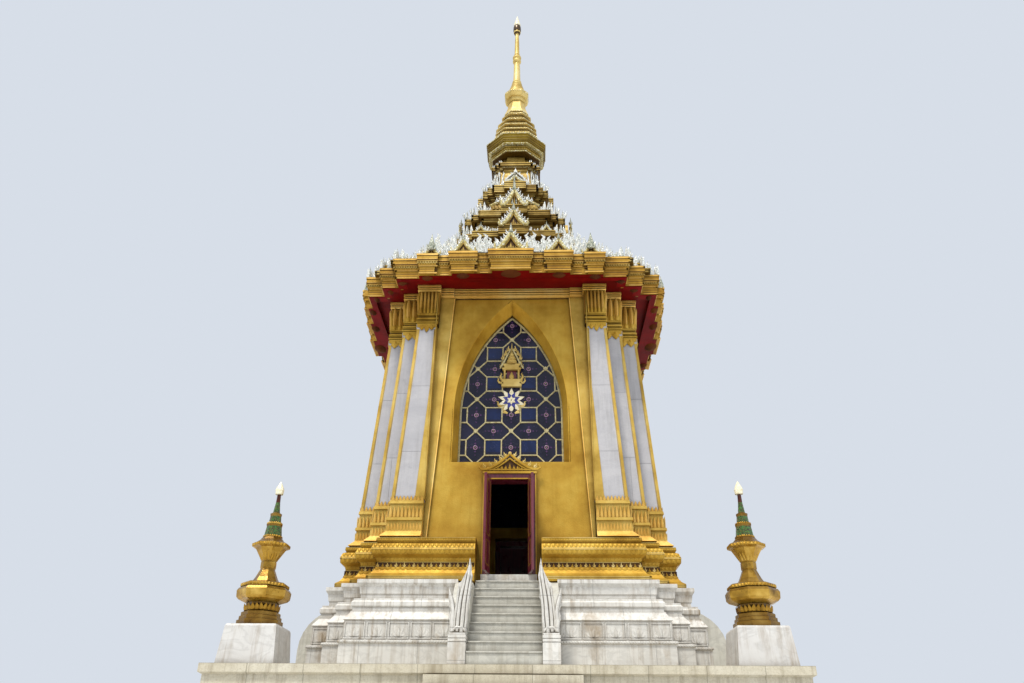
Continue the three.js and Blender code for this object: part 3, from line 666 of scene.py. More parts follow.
# Roof: rows of small ornament along every ledge
def cluster(shape, m, x0, x1, y, z, size):
    """A thicket of white flames: tall ones behind, small ones in front."""
    for back, share, pitch in ((0.1, 1.0, 0.3), (0.04, 0.8, 0.34), (0.0, 0.5, 0.42)):
        x = x0 + random.uniform(0, 0.05)
        while x < x1:
            tall = size * share * random.uniform(0.75, 1.1)
            turn = MIRROR if random.random() < 0.45 else STILL
            shape.put(flame(tall), m @ move(x, y + back, z) @ turn @ tip_out(random.uniform(-10, 16)), WHITE)
            x += tall * pitch


# Blades and hooks grow with the ornament of their ledge up to this size
LARGEST_BLADE = 0.36


def ledge(shape, z, a, d, size, start, stop):
    """Blades and hooks on the stepped corners of a ledge, and flames along its straight run."""
    small = min(size, LARGEST_BLADE)
    for m in HALVES:
        for i, (x0, x1, y) in enumerate(runs(a, d)):
            if i == 0:
                cluster(shape, m, start, min(stop, x1 - size * 0.4), y + 0.04, z, size * 0.8)
            shape.put(grown(BLADES, small * 1.15, 0.5), m @ move(x1 - small * 0.3, y + 0.04, z), WHITE)
            shape.put(grown(HOOK, small * 0.8, 0.6),
                      m @ move(x1 - 0.05, y + 0.05, z) @ spin(-QUARTER / 2), WHITE)
            if i:
                cluster(shape, m, x0 + 0.02, x1 - 0.08, y + 0.03, z, size * 0.5)


CORNICE_PETALS_FOOT = 12.365
# The right half of the main cornice, as (x0, x1, how far out)
CORNICE_RUNS = [(0, 0.61, 4.6), (0.61, 0.90, 4.4), (0.90, 1.69, 4.5), (1.69, 1.99, 4.3), (1.99, 2.56, 4.4),
                (2.56, 3.24, 4.16), (3.24, 3.70, 3.70), (3.70, 4.16, 3.24)]
# Pediments, as (placements, x, y, foot, half width, height, spear, thickness)
PEDIMENTS = [(SIDES, 0, -4.5, CORNICE_TOP, 0.36, 0.58, 0.4, 0.07),
             (HALVES, 1.30, -4.42, CORNICE_TOP, 0.27, 0.42, 0.35, 0.05),
             (HALVES, 2.18, -4.32, CORNICE_TOP, 0.2, 0.32, 0.3, 0.04),
             (SIDES, 0, -2.45, 15.0, 0.36, 0.62, 0.3, 0.06), (SIDES, 0, -1.27, 17.74, 0.2, 0.26, 0.3, 0.03),
             (HALVES, 1.02, -2.24, 14.94, 0.13, 0.24, 0.5, 0.03)]
# Ledges of the tiers, as (height, half width, step, ornament size, flames from, flames to)
LEDGES = [(12.80, 3.80, 0.27, 0.5, 0.35, 3.1), (13.56, 3.10, 0.27, 1.0, 0.15, 2.5),
          (15.0, 2.04, 0.27, 0.56, 0.42, 1.4), (16.25, 1.62, 0.24, 0.36, 0.8, 1.1),
          (17.74, 1.08, 0.17, 0.3, 0.36, 0.7), (18.96, 0.82, 0.13, 0.15, 0.1, 0.5)]
# Edges with fine mouldings, as (bottom, top, half width, step)
EDGES = [(12.66, 12.80, 3.9, 0.27), (13.43, 13.56, 3.135, 0.27), (14.56, 14.72, 1.98, 0.27),
         (14.75, 15.0, 2.058, 0.27), (15.0, 15.14, 1.795, 0.24), (15.86, 16.0, 1.525, 0.24),
         (16.03, 16.25, 1.635, 0.24), (16.25, 16.38, 1.395, 0.17), (17.29, 17.43, 1.005, 0.17),
         (17.46, 17.74, 1.098, 0.17), (17.74, 17.9, 0.925, 0.13), (18.84, 18.96, 0.838, 0.13)]
# The same under the pediments, as (bottom, top, half width, how far out)
PORCH_EDGES = [(14.70, 15.0, 0.45, 2.48), (14.72, 14.94, 1.27, 2.30), (16.0, 16.25, 0.40, 1.86),
               (17.46, 17.74, 0.35, 1.29)]
# Slopes with a row of petals, as (foot, half width at the foot and at the top, step, height)
SLOPES = [(12.84, 3.44, 3.24, 0.27, 0.26), (13.10, 3.26, 3.08, 0.27, 0.26), (13.62, 2.55, 2.34, 0.27, 0.28),
          (13.92, 2.33, 2.12, 0.27, 0.28), (14.22, 2.11, 1.92, 0.27, 0.27), (15.18, 1.60, 1.5, 0.24, 0.28),
          (15.50, 1.50, 1.41, 0.24, 0.26), (16.42, 1.2, 1.11, 0.17, 0.25), (16.70, 1.11, 1.02, 0.17, 0.25),
          (16.98, 1.01, 0.93, 0.17, 0.22)]


def dress_roof():
    gables, flames, crests, petals = Shape(), Shape(), Shape(), Shape()
    for places, x, y, z, half, high, spear, thick in PEDIMENTS:
        for at in places:
            gable(gables, at @ move(x, y, z), half, high, spear, thick)
    for k, side in enumerate(SIDES):
        gable(gables, side @ move(0, -1.84, 16.25), 0.34, 0.66, 0.3 if k % 2 else 0.8, 0.06, 0.8)
    for m in HALVES:
        top = m @ move(z=CORNICE_TOP)
        flames.put(spike(0.52, 0.8), top @ move(2.18, -4.4, 0.14), GREY)
        for x0, x1, y, size in [(0.44, 0.92, -4.44, 0.5), (0.92, 1.04, -4.4, 0.36), (1.54, 1.96, -4.3, 0.46),
                                (2.36, 2.6, -4.26, 0.4)]:
            cluster(flames, m, x0, x1, y, CORNICE_TOP, size)
        for i in range(5):
            flames.put(spike(0.15), top @ move(2.68 + i * 0.1, -4.12), GREY)
        for x, y in [(3.24, 4.16), (3.70, 3.70), (4.16, 3.24)]:
            flames.put(grown(BLADES, 0.4, 0.5),
                       top @ move(x - 0.14, 0.07 - y) @ Matrix.Diagonal((1.5, 1.5, 1, 1)), WHITE)
        for x, y in [(3.3, 3.66), (3.42, 3.66), (3.76, 3.20), (3.88, 3.20)]:
            flames.put(spike(0.13), top @ move(x, -y), GREY)
        for x0, x1, y in CORNICE_RUNS:
            row(petals, leaf(0.07, 0.085, 0.022), 0.07, x0, x1, 0.032 - y, CORNICE_PETALS_FOOT, m)
    for z, a, d, size, start, stop in LEDGES:
        ledge(crests if z > 13 else flames, z, a, d, size, start, stop)
    for m in HALVES:
        cluster(crests, m, 0.22, 0.34, -1.24, 17.74, 0.27)
        for z0, z1, half, y in PORCH_EDGES:
            fascia(petals, m, 0, half, -y, z0, z1, 0.3)
    for z0, z1, a, d in EDGES:
        for m, x0, x1, y in around(a, d):
            fascia(petals, m, x0, x1, y, z0, z1)
    for z, a, above, d, tall in SLOPES:
        tilt = tilted(-math.atan2(a - above, tall))
        for m, x0, x1, y in around(a, d):
            row(petals, leaf(0.13, tall * 1.02, 0.045), 0.13, x0, x1, y + 0.005, z, m, PLAIN, tilt)
    gables.make("roof_pediments", ROOF_LOOKS, "white_ceramic", smooth=40)
    flames.make("cornice_flames", ROOF_LOOKS, "white_ceramic", smooth=45)
    crests.make("roof_flames", ROOF_LOOKS, "white_ceramic", smooth=45)
    petals.make("roof_petals", ROOF_LOOKS, "gold_stucco", smooth=30)


NICHE_FOOT, CAP_LINE_FOOT, EAVE_PETALS_FOOT, DRUM_FOOT = 17.93, 18.845, 18.55, 19.02
# Octagonal bands of the canopy, as (bottom, top, radius of the corners, material)
CANOPY_LINES = [(19.735, 19.765, 1.056, BOARDS), (19.84, 19.855, 1.078, PLAIN), (19.9, 19.915, 1.09, PLAIN),
                (20.0, 20.02, 1.108, PLAIN), (20.115, 20.146, 1.145, BOARDS), (19.47, 19.5, 0.932, BOARDS),
                (19.65, 19.69, 0.946, PLAIN)]
# Colonnettes in the gaps between the rings, as (foot, half width, half front, height, tilt)
COLONNETTES = [(20.42, 0.757, 0.453, 0.085, 0.0), (20.52, 0.688, 0.398, 0.12, -0.15),
               (20.725, 0.648, 0.358, 0.145, -0.18), (20.955, 0.598, 0.308, 0.225, -0.24),
               (21.265, 0.498, 0.243, 0.31, -0.2), (21.66, 0.418, 0.198, 0.13, -0.12)]
# Beads on the rims of the rings, as (foot, half width, half front)
RIM_BEADS = [(20.655, 0.745, 0.43), (20.885, 0.73, 0.385), (21.195, 0.672, 0.305), (21.59, 0.53, 0.256),
             (21.805, 0.44, 0.21), (22.86, 0.44, 0.205)]


def niches(shape):
    """A framed niche on every side of the relic chamber, with spiked frames on its stepped corners."""
    for side in SIDES:
        face = side @ move(0, -0.81, NICHE_FOOT) @ tilted(-0.1)
        # The ground of the niche is painted dark as shade.
        shape.put(prism([(-0.27, 0), (0.27, 0), (0.25, 0.3), (0, 0.56), (-0.25, 0.3)], 0.06, -0.012), face,
                  SHADE_GROUND)
        for m in both(face):
            front = m @ move(0, -0.03)
            shape.bar([(0.33, 0.0), (0.34, 0.18), (0.29, 0.36), (0.16, 0.52), (0.0, 0.68)],
                      [0.032, 0.036, 0.038, 0.036, 0.02], front, WHITE)
            shape.bar([(0.24, 0.0), (0.24, 0.2), (0.17, 0.36), (0.0, 0.5)], [0.02, 0.022, 0.022, 0.014],
                      front, GREY)
            shape.bar([(0.45, 0.0), (0.45, 0.3), (0.43, 0.5), (0.4, 0.62), (0.43, 0.74)],
                      [0.03, 0.03, 0.028, 0.024, 0.005], m, WHITE)
            for x, tall in [(0.1, 0.3), (0.2, 0.26), (0.32, 0.24), (0.41, 0.22)]:
                shape.put(flame(tall), m @ move(x, -0.1), WHITE)
            for i in range(3):
                shape.put(flame(0.13, 0.6), m @ move(0.3 - i * 0.1, -0.04, 0.3 + i * 0.13) @ tip_out(30),
                          WHITE)
        for i in (-1, 0, 1):
            shape.bar([(0, 0), (0.0, 0.3 - 0.08 * abs(i))], [0.014, 0.01],
                      face @ move(i * 0.09, -0.02, 0.02), GREY)
        shape.put(spike(0.24, 0.5), face @ move(0, -0.06, 0.62), WHITE)
    for m in HALVES:
        for x0, x1, y in runs(0.78, 0.13)[1:]:
            foot = m @ move((x0 + x1) / 2, y - 0.03, NICHE_FOOT)
            for s in (-1, 1):
                shape.bar([(s * 0.045, 0), (s * 0.05, 0.4), (s * 0.02, 0.62), (0.0, 0.74)],
                          [0.02, 0.022, 0.022, 0.006], foot, WHITE, flat=0.9)
            shape.put(spike(0.3, 0.7), foot @ move(0, -0.04), WHITE)


def dress_chamber():
    """Niches and petals on the relic chamber, and lines, colonnettes and beads on the canopy and rings."""
    shape = Shape()
    niches(shape)
    for m, x0, x1, y in around(0.69, 0.13):
        row(shape, leaf(0.06, 0.1, 0.02), 0.06, x0, x1, y - 0.02, CAP_LINE_FOOT, m, BOARDS)
        row(shape, leaf(0.08, 0.22, 0.03), 0.08, x0, x1 - 0.02, y + 0.02, EAVE_PETALS_FOOT, m, PLAIN,
            tilted(-0.2))
    for m, x0, x1, y in around(0.6, 0.13):
        row(shape, leaf(0.1, 0.38, 0.03), 0.1, x0, x1, y, DRUM_FOOT, m, PLAIN, tilted(-0.12))
    # Brackets between the two octagonal bands, and fine lines along both
    eight_row(shape, leaf(0.07, 0.22, 0.07), 0.14, 0.82, 19.715, PLAIN, 0.1)
    eight_row(shape, leaf(0.09, 0.1, 0.015), 0.09, 0.94, 19.53)
    for z0, z1, r, look in CANOPY_LINES:
        shape.put(turned([(z0, r - 0.03), (z0, r + 0.012), (z1, r + 0.014), (z1, r - 0.03)], 8, OCT), None,
                  look)
    for z, half, front, tall, tilt in COLONNETTES:
        look = BOARDS if tall < 0.1 else PLAIN
        chamfer_row(shape, leaf(0.075, tall, 0.035), 0.088, half, front, z, look, tilt)
    for z, half, front in RIM_BEADS:
        chamfer_row(shape, leaf(0.07, 0.05, 0.012), 0.07, half, front, z, BOARDS)
    shape.make("chamber_ornament", ROOF_LOOKS, "gold_stucco", smooth=35)


# Profiles of the mast and its bud, as (height, radius); the rolls as (foot, height, radius)
MAST_FOOT = [(23.0203, 0.345), (23.05, 0.362), (23.09, 0.355)]
MAST_ROLLS = [(23.11, 0.13, 0.29), (23.26, 0.11, 0.25), (23.39, 0.1, 0.215), (23.51, 0.1, 0.185),
              (23.63, 0.11, 0.16)]
MAST = [(23.76, 0.138), (24.3, 0.126), (24.77, 0.112), (24.8, 0.15), (24.84, 0.162), (24.88, 0.158),
        (24.92, 0.14), (24.97, 0.142), (25.02, 0.165), (25.08, 0.165), (25.12, 0.12), (25.16, 0.1),
        (25.22, 0.112), (25.27, 0.098), (25.8, 0.086), (26.36, 0.072), (26.42, 0.07)]
BUD_CUP = [(26.4203, 0.075), (26.45, 0.12), (26.48, 0.11), (26.52, 0.135), (26.6, 0.152), (26.7, 0.156),
           (26.8, 0.15), (26.88, 0.12)]
BUD = [(26.86, 0.11), (26.92, 0.138), (27.0, 0.126), (27.14, 0.092), (27.3, 0.055), (27.4, 0.03),
       (27.5, 0.006)]


def eased(pairs, steps=4):
    """The profile with soft curves between its points."""
    out = []
    for (z0, r0), (z1, r1) in zip(pairs, pairs[1:]):
        for i in range(steps):
            t = i / steps
            out.append((z0 + (z1 - z0) * t, r0 + (r1 - r0) * (t * t * (3 - 2 * t))))
    return out + [pairs[-1]]


def dress_spire():
    """Round mouldings of the mast and the lotus bud on its tip."""
    mast, bud = Shape(), Shape()
    rolls = []
    for z, high, r in MAST_ROLLS:
        rolls += [(z, r), (z + high * 0.3, r + 0.012), (z + high * 0.7, r + 0.014), (z + high, r)]
    mast.put(turned(eased(MAST_FOOT + rolls + MAST), 28))
    made = mast.make("spire_turned", [GOLD_PALE], "gold_stucco", smooth=28)
    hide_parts("spire")
    bud.put(turned(eased(BUD_CUP), 24), None, 1)
    for turn in EIGHT:
        bud.put(leaf(0.11, 0.24, 0.02, -0.02), turn @ move(0, -0.122, 26.47), 0)
    bud.put(turned(eased(BUD), 20), None, 2)
    for k in range(6):
        bud.put(leaf(0.11, 0.3, 0.012, -0.07), spin(k * math.pi / 3) @ move(0, -0.125, 26.88), 2)
    made = bud.make("finial_bud", [GOLD_PALE, DARK, BUD_WHITE], "gold_metal", smooth=40)
    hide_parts("finial")


# Piers: gold arrises, capitals and lotus feet
MARBLE_FOOT, MARBLE_TOP = 5.94, 10.9
# Rolls under the capital and on the abacus, as (bottom, top, how far proud)
NECK_ROLLS = [(10.97, 10.995, 0.045), (11.0, 11.045, 0.06), (11.075, 11.1, 0.046), (11.11, 11.155, 0.06),
              (11.16, 11.185, 0.044), (11.215, 11.24, 0.046), (11.25, 11.3, 0.06), (11.305, 11.33, 0.045)]
ABACUS_ROLLS = [(11.96, 11.985, 0.055), (12.0, 12.03, 0.07), (12.055, 12.1, 0.04), (12.12, 12.1995, 0.055)]
# Mouldings that wrap a corner, as (profile of height and how far proud, material, inner end)
COLLARS = [([(10.965, 0.012), (11.325, 0.02)], 1, 2.0),
           ([(11.325, 0.01), (11.34, 0.03), (11.5, 0.02), (11.75, 0.03), (11.95, 0.06), (11.98, 0.06)],
            4, 2.0),
           ([(11.97, 0.02), (12.199, 0.03)], 1, 1.98),
           ([(5.0503, 0.05), (5.07, 0.1), (5.2, 0.02), (5.22, 0.02)], 3, BAY_SIDE),
           ([(5.22, 0.02), (5.45, 0.015), (5.47, 0.05), (5.53, 0.05), (5.55, 0.012), (5.86, 0.01),
             (5.88, 0.04), (5.95, 0.035), (5.97, 0.01)], 0, BAY_SIDE)]
# Gilt lines along the edges of a pilaster, as (which edge, from, to, how far proud)
ARRIS_LINES = [(1, -0.06, 0.012, 0.014), (1, -0.078, -0.068, 0.007), (0, 0.0, 0.018, 0.014)]
FIRST_ARRIS = (0, 0.0, 0.05, 0.014)


def corner_plan(a, inner):
    d = STEP_D
    half = [(inner, -a), (a - 2 * d, -a), (a - 2 * d, -(a - d)), (a - d, -(a - d)), (a - d, -(a - 2 * d)),
            (a, -(a - 2 * d)), (a, -inner)]
    return half + [(a - 0.4, -inner), (a - 2.5 * d, -(a - 2.5 * d)), (inner, -(a - 0.4))]


def collar(shape, profile, at, look, inner):
    """A moulding that wraps one stepped corner, from (height, how far it stands proud)."""
    rings = [[(x, y, z) for x, y in corner_plan(pier_half(z) + proud, inner)] for z, proud in profile]
    shape.put(loft(rings), at, look)


def pier_strips(shape, m):
    """Upright gilt strips of one half of a pier and of the bay beside it, leaning with both."""
    # Margin between the bay and the first pilaster, narrower towards the top
    rings = []
    for z in (MARBLE_FOOT, 7.3, 8.6, 9.9):
        a = pier_half(z)
        x1 = max(BAY_SIDE + 0.003, a - 2 * STEP_D - 0.555)
        rings.append(flat_ring(BAY_SIDE, x1, -a - 0.012, 0.05 - a, z))
    shape.put(loft(rings), m, 0)
    # Return between the pier and the bay
    rings = []
    for z in (6.0, 12.2):
        front, back = -pier_half(z) - 0.012, lean(z) - BAY_FACE + 0.004
        rings.append(flat_ring(BAY_SIDE - 0.012, BAY_SIDE + 0.004, front, back, z))
    shape.put(loft(rings), m, 0)
    for i in range(3):
        for end, near, far, proud in ARRIS_LINES[:2] + [ARRIS_LINES[2] if i else FIRST_ARRIS]:
            rings = []
            for z in (MARBLE_FOOT, MARBLE_TOP):
                run = pier_run(z, i)
                rings.append(flat_ring(run[end] + near, run[end] + far, run[2] - proud, run[2] + 0.05, z))
            shape.put(loft(rings), m)
    # Pale gilt over the raised strip of the bay, with a bead on its inner edge in the brighter gold, a
    # painted highlight
    for near, far, proud, look in ((0.0, None, 0.006, 0), (-0.012, 0.014, 0.014, 3)):
        rings = []
        for z in (STRIP_FOOT, STRIP_TOP):
            x0 = STRIP_FOOT_X - (z - STRIP_FOOT) * STRIP_SLOPE
            x1 = BAY_SIDE - 0.006 if far is None else x0 + far
            y = lean(z) - BAY_FACE - STRIP_PROUD
            rings.append(flat_ring(x0 + near, x1, y - proud, y + 0.02, z))
        shape.put(loft(rings), m, look)


def pilaster_carving(shape, m, i):
    """Plate, hanging petals, capital leaves and lotus foot of pilaster i."""
    x0, x1, y = pier_run(10.86, i)
    shape.put(box(x0, x1 + 0.012, y - 0.04, y + 0.05, 10.86 + 0.004 * i, 10.97 + 0.004 * i), m, 2)
    count = 2 if i else 3
    pitch, centres = spaced(x0 if i else x0 + 0.05, x1 - 0.05, None, count)
    for j, x in enumerate(centres):
        tall = 0.2 if j == 1 or count == 2 else 0.13
        shape.put(leaf(pitch * 1.05, tall, 0.03), m @ move(x, y - 0.03, 10.9) @ HANG, 2)
        shape.put(leaf(pitch * 0.5, 0.1, 0.03), m @ move(x, y - 0.042, 10.92) @ HANG, 1)
    # Narrow upright leaves of the capital, curving out to the abacus
    x0, x1, y = pier_run(11.5, i)
    x1 += 0.03
    pitch, centres = spaced(x0, x1, None, 3 if i else 5)
    for x in centres:
        shape.put(leaf(pitch * 0.8, 0.68, 0.05, 0.07, 0.46, ROUNDED), m @ move(x, y - 0.03, 11.32), 0)
        shape.put(leaf(pitch * 0.34, 0.6, 0.03, 0.07, 0.42), m @ move(x, y - 0.06, 11.33), 3)
        shape.put(leaf(pitch * 0.95, 0.26, 0.05, 0.02, 0.4), m @ move(x, y - 0.035, 11.3), 2)
    for x in [x0 + 0.015] + [x + pitch / 2 for x in centres[:-1]] + [x1 - 0.015]:
        shape.put(leaf(pitch * 0.42, 0.62, 0.03, 0.05, 0.42), m @ move(x, y - 0.02, 11.32), 1)
    # Fine petals of the lotus foot
    for z, tall, thick, wide in [(5.5, 0.34, 0.03, 0.085), (5.22, 0.2, 0.02, 0.075),
                                 (5.92, 0.16, 0.02, 0.085)]:
        x0, x1, y = pier_run(z, i)
        row(shape, lambda pitch: leaf(pitch, tall, thick, 0.02), wide, x0, x1, y - 0.01, z, m)


def dress_piers():
    strips, carved = Shape(), Shape()
    for m in HALVES:
        pier_strips(strips, m)
        for i in range(3):
            pilaster_carving(carved, m, i)
    for side in SIDES:
        for profile, look, inner in COLLARS:
            collar(strips, profile, side, look, inner)
        # The abacus rolls take material 3, the brighter gold: painted sunlight.
        for rolls, sunk, look, inner in ((NECK_ROLLS, 0.03, 2, 2.0), (ABACUS_ROLLS, 0.05, 3, 1.97)):
            for z0, z1, proud in rolls:
                collar(strips,
                       [(z0, proud - sunk), (z0 + 0.004, proud), (z1 - 0.004, proud), (z1, proud - sunk)],
                       side, look, inner)
    # Material 1, the dark gold, on the collars under the capital and behind the abacus is painted shade.
    strips.make("pier_gold_trim", [ARRIS, SHADE_GOLD, GOLD, SUNLIT, CORNICE], "gold_stucco", smooth=25)
    carved.make("pier_capitals", [LINE_GOLD, GOLD_DEEP, GOLD, LINE_GOLD], "gold_stucco", smooth=40)


# Windows: cames, rosettes, and a gilded canopy over a lotus
PITCH_X, PITCH_Z, TOP_NODE, SQUARE = 0.92, 0.925, 10.84, 0.215
CAME_SUNK, CAME_STEPS, DIAGONAL = 0.004, 24, 1.414
LINING, LINING_DEEP = 0.012, 0.3
CORNER_SIGNS = [(1, 1), (1, -1), (-1, 1), (-1, -1)]
EDGE_SIGNS = [((-1, -1), (1, -1)), ((-1, 1), (1, 1)), ((-1, -1), (-1, 1)), ((1, -1), (1, 1))]


def arch_form(band):
    """Half width, rise and set-back of the centre of an arch that much wider than the window."""
    half = WINDOW_HALF + band
    rise = WINDOW_APEX + band * ARCH_TIP_GROWTH - WINDOW_SPRING
    return half, rise, (rise * rise - half * half) / (2 * half)


def arch(band):
    half, rise, back = arch_form(band)
    radius = half + back
    sweep = math.atan2(rise, back)
    right = [(half, WINDOW_SILL)]
    for i in range(ARCH_STEPS):
        a = sweep * i / ARCH_STEPS
        right.append((radius * math.cos(a) - back, WINDOW_SPRING + radius * math.sin(a)))
    return right + [(0, WINDOW_SPRING + rise)] + [(-x, z) for x, z in right[::-1]]


def inside_arch(x, z, margin):
    """Whether a point of the window is at least the margin from its sill and sides."""
    half, rise, back = arch_form(0.0)
    if z > WINDOW_SPRING:
        inside = (half + back) ** 2 - (z - WINDOW_SPRING) ** 2
        half = max(0.0, math.sqrt(inside) - back) if inside > 0 else 0.0
    return WINDOW_SILL + margin < z and abs(x) < half - margin


def came(p, q, half, proud, top, over):
    """A lead line on the glass, with the share top of its width outside, running over both ends."""
    along = (q - p).normalized()
    across = Vector((-along.y, along.x)) * half
    rings = []
    for e in (p - along * over, q + along * over):
        y = glass_y(e.y)
        rings.append([(e.x + across.x * s, y + out, e.y + across.y * s)
                      for s, out in ((1, CAME_SUNK), (top, -proud), (-top, -proud), (-1, CAME_SUNK))])
    return loft(rings)


def dress_windows():
    """Lead lines, blue panes, bosses and rosettes on the glass of every window."""
    cames, roses = Shape(), Shape()
    lines, panes, rosettes = [], [], []

    def line(x0, z0, x1, z1):
        """The part of a lead line that lies inside the arch."""
        p, q = Vector((x0, z0)), Vector((x1, z1))
        steps = [p + (q - p) * (i / CAME_STEPS) for i in range(CAME_STEPS + 1)]
        kept = [spot for spot in steps if inside_arch(*spot, 0.02)]
        if len(kept) > 1:
            lines.append(came(kept[0], kept[-1], 0.022, 0.024, 0.6, 0.0132))

    def plate(side, x, z, half, look, turn=0.0, proud=0.006):
        """A flat square pane or boss on the glass."""
        angles = [turn + k * QUARTER + QUARTER / 2 for k in range(4)]
        outline = [(x + half * math.cos(a) * DIAGONAL, z + half * math.sin(a) * DIAGONAL) for a in angles]
        roses.put(prism(outline, glass_y(z) + 0.012, glass_y(z) - proud), side, look)

    for i in range(-2, 3):
        for j in range(-1, 6):
            cx, cz = (i + 0.5) * PITCH_X, TOP_NODE - (j + 0.5) * PITCH_Z
            for (a, b), (c, d) in EDGE_SIGNS:
                line(cx + a * SQUARE, cz + b * SQUARE, cx + c * SQUARE, cz + d * SQUARE)
            for a, b in CORNER_SIGNS:
                line(cx + a * SQUARE, cz + b * SQUARE, cx + a * PITCH_X / 2, cz + b * PITCH_Z / 2)
            panes.append((cx, cz))
            rosettes += [(i * PITCH_X, cz), (cx, TOP_NODE - j * PITCH_Z)]
    crossings = [(i * PITCH_X, TOP_NODE - k * PITCH_Z) for k in range(-1, 6) for i in (-1, 0, 1)]
    rim = [Vector(p) for p in arch(-0.025)]
    for side in SIDES:
        for part in lines:
            cames.put(part, side)
        for p, q in zip(rim, rim[1:] + rim[:1]):
            cames.put(came(p, q, 0.024, 0.03, 1, 0.01), side)
        for x, z in panes:
            if inside_arch(x, z, 0.26):
                plate(side, x, z, 0.19, 2)
        for x, z in crossings:
            if inside_arch(x, z, 0.1):
                plate(side, x, z, 0.045, 3, QUARTER / 2, 0.03)
        for x, z in rosettes:
            if not inside_arch(x, z, 0.13):
                continue
            at = side @ move(x, glass_y(z) - 0.002, z) @ tilted(QUARTER)
            roses.put(turned([(0, 0.062), (0.012, 0.06), (0.016, 0.052), (0.01, 0.03)], 20), at, 0)
            roses.put(turned([(0, 0.038), (0.014, 0.036), (0.016, 0.016)], 16), at, 4)
            roses.put(turned([(0, 0.014), (0.022, 0.01)], 10), at, 3)
            for a, b in [(0.16, 0), (-0.16, 0), (0, 0.16), (0, -0.16)]:
                if inside_arch(x + a, z + b, 0.06):
                    for far, half in ((0.7, 0.022), (1.3, 0.016)):
                        plate(side, x + a * far, z + b * far, half, 1, QUARTER / 2, 0.01)
    cames.make("window_cames", [CAME], "gold_metal")
    roses.make("window_rosettes", [ROSE, PLUM, GLASS_BLUE, CAME, GLASS], "leaded_glass", smooth=40)


def line_arches():
    """A deep gold lining in each splayed arch."""
    reveal = Shape()

    def spot(p, y):
        return p[0], y + lean(p[1]), p[1]

    def pulled(x, y, z):
        nearer = x - math.copysign(LINING, x) if abs(x) > 0.02 else x
        return nearer, y, z - (LINING if z > WINDOW_SPRING else 0)

    outer, inner = arch(ARCH_BAND - 0.006), arch(0.004)
    for a, b, c, d in zip(outer, outer[1:], inner, inner[1:]):
        quad = [spot(a, -BAY_FACE), spot(b, -BAY_FACE), spot(d, LINING_DEEP - BAY_FACE),
                spot(c, LINING_DEEP - BAY_FACE)]
        out = math.copysign(0.03, a[0] or -b[0])
        for side in SIDES:
            reveal.put(loft([[pulled(*p) for p in quad], [(x + out, y, z) for x, y, z in quad]]), side)
    reveal.make("arch_lining", [GOLD_DEEP], "gold_stucco", smooth=20)


ROSETTE_Z = 8.95
# Base, niche and cornice of the canopy, as (bottom, top, half width)
CANOPY_BOXES = [(9.34, 9.42, 0.27), (9.42, 9.47, 0.22), (9.47, 9.56, 0.25), (9.84, 9.90, 0.25),
                (9.90, 9.96, 0.2), (9.96, 10.02, 0.23)]
CANOPY_BUD = [(9.56, 0.05), (9.6, 0.075), (9.66, 0.07), (9.74, 0.03), (9.8, 0.004)]
CANOPY_SPIRE = [(10.02, 0.17), (10.08, 0.15), (10.1, 0.165), (10.18, 0.12), (10.2, 0.13), (10.3, 0.08),
                (10.32, 0.09), (10.42, 0.045), (10.55, 0.02), (10.7, 0.004)]
# Rings of the rosette, as (petals, radius, length, width, material)
ROSETTE = [(10, 0.13, 0.24, 0.13, 1), (8, 0.06, 0.19, 0.12, 4), (6, 0.02, 0.11, 0.08, 1)]


def dress_canopy():
    """A gilded canopy over a lotus bud, and a lotus rosette under it, on every window."""
    shape = Shape()
    for side in SIDES:
        at = side @ move(0, glass_y(9.9) - 0.01)
        for z0, z1, w in CANOPY_BOXES:
            shape.put(box(-w, w, -0.12, 0.05, z0, z1), at, 0)
        for m in both(at):
            shape.put(turned([(9.56, 0.045), (9.58, 0.03), (9.8, 0.028), (9.84, 0.045)], 10),
                      m @ move(0.19, -0.07), 0)
            shape.put(kanok(0.34), m @ move(0.26, -0.06, 9.44), 0)
            shape.put(kanok(0.24), m @ move(0.24, -0.06, 9.9), 0)
            shape.bar([(0.03, 10.46), (0.12, 10.28), (0.2, 10.1), (0.28, 9.95), (0.32, 9.88)],
                      [0.018, 0.024, 0.026, 0.028, 0.012], m @ move(0, -0.1), 2)
            shape.bar([(0.09, 10.5), (0.18, 10.34), (0.25, 10.2)], [0.015, 0.025, 0.01],
                      m @ move(0, -0.06), 0)
            for i in range(3):
                shape.put(kanok(0.17), m @ move(0.08 + i * 0.075, -0.08, 10.42 - i * 0.13), 0)
        shape.put(box(-0.13, 0.13, -0.03, 0.0, 9.56, 9.84), at, 3)
        shape.put(turned(CANOPY_BUD, 12), at @ move(0, -0.07), 0)
        shape.put(turned(CANOPY_SPIRE, 12), at @ move(0, -0.02), 0)
        low = side @ move(0, glass_y(ROSETTE_Z) - 0.012)
        for ring, (count, r0, length, wide, look) in enumerate(ROSETTE):
            for k in range(count):
                turn = spin(2 * math.pi * (k + 0.5 * ring) / count, "Y")
                shape.put(leaf(wide, length, 0.02),
                          low @ move(0, -0.014 * ring, ROSETTE_Z) @ turn @ move(z=r0), look)
        for m in both(low):
            shape.put(kanok(0.34, 0.25), m @ move(0.2, 0.0, 8.66) @ tip_out(30), 0)
            shape.put(kanok(0.3, 0.25), m @ move(0.1, 0.0, 8.58) @ tip_out(75), 0)
    shape.make("window_canopies", [GOLD_PALE, BUD_WHITE, CAME, MAROON, BLUE], "gold_metal", smooth=40)
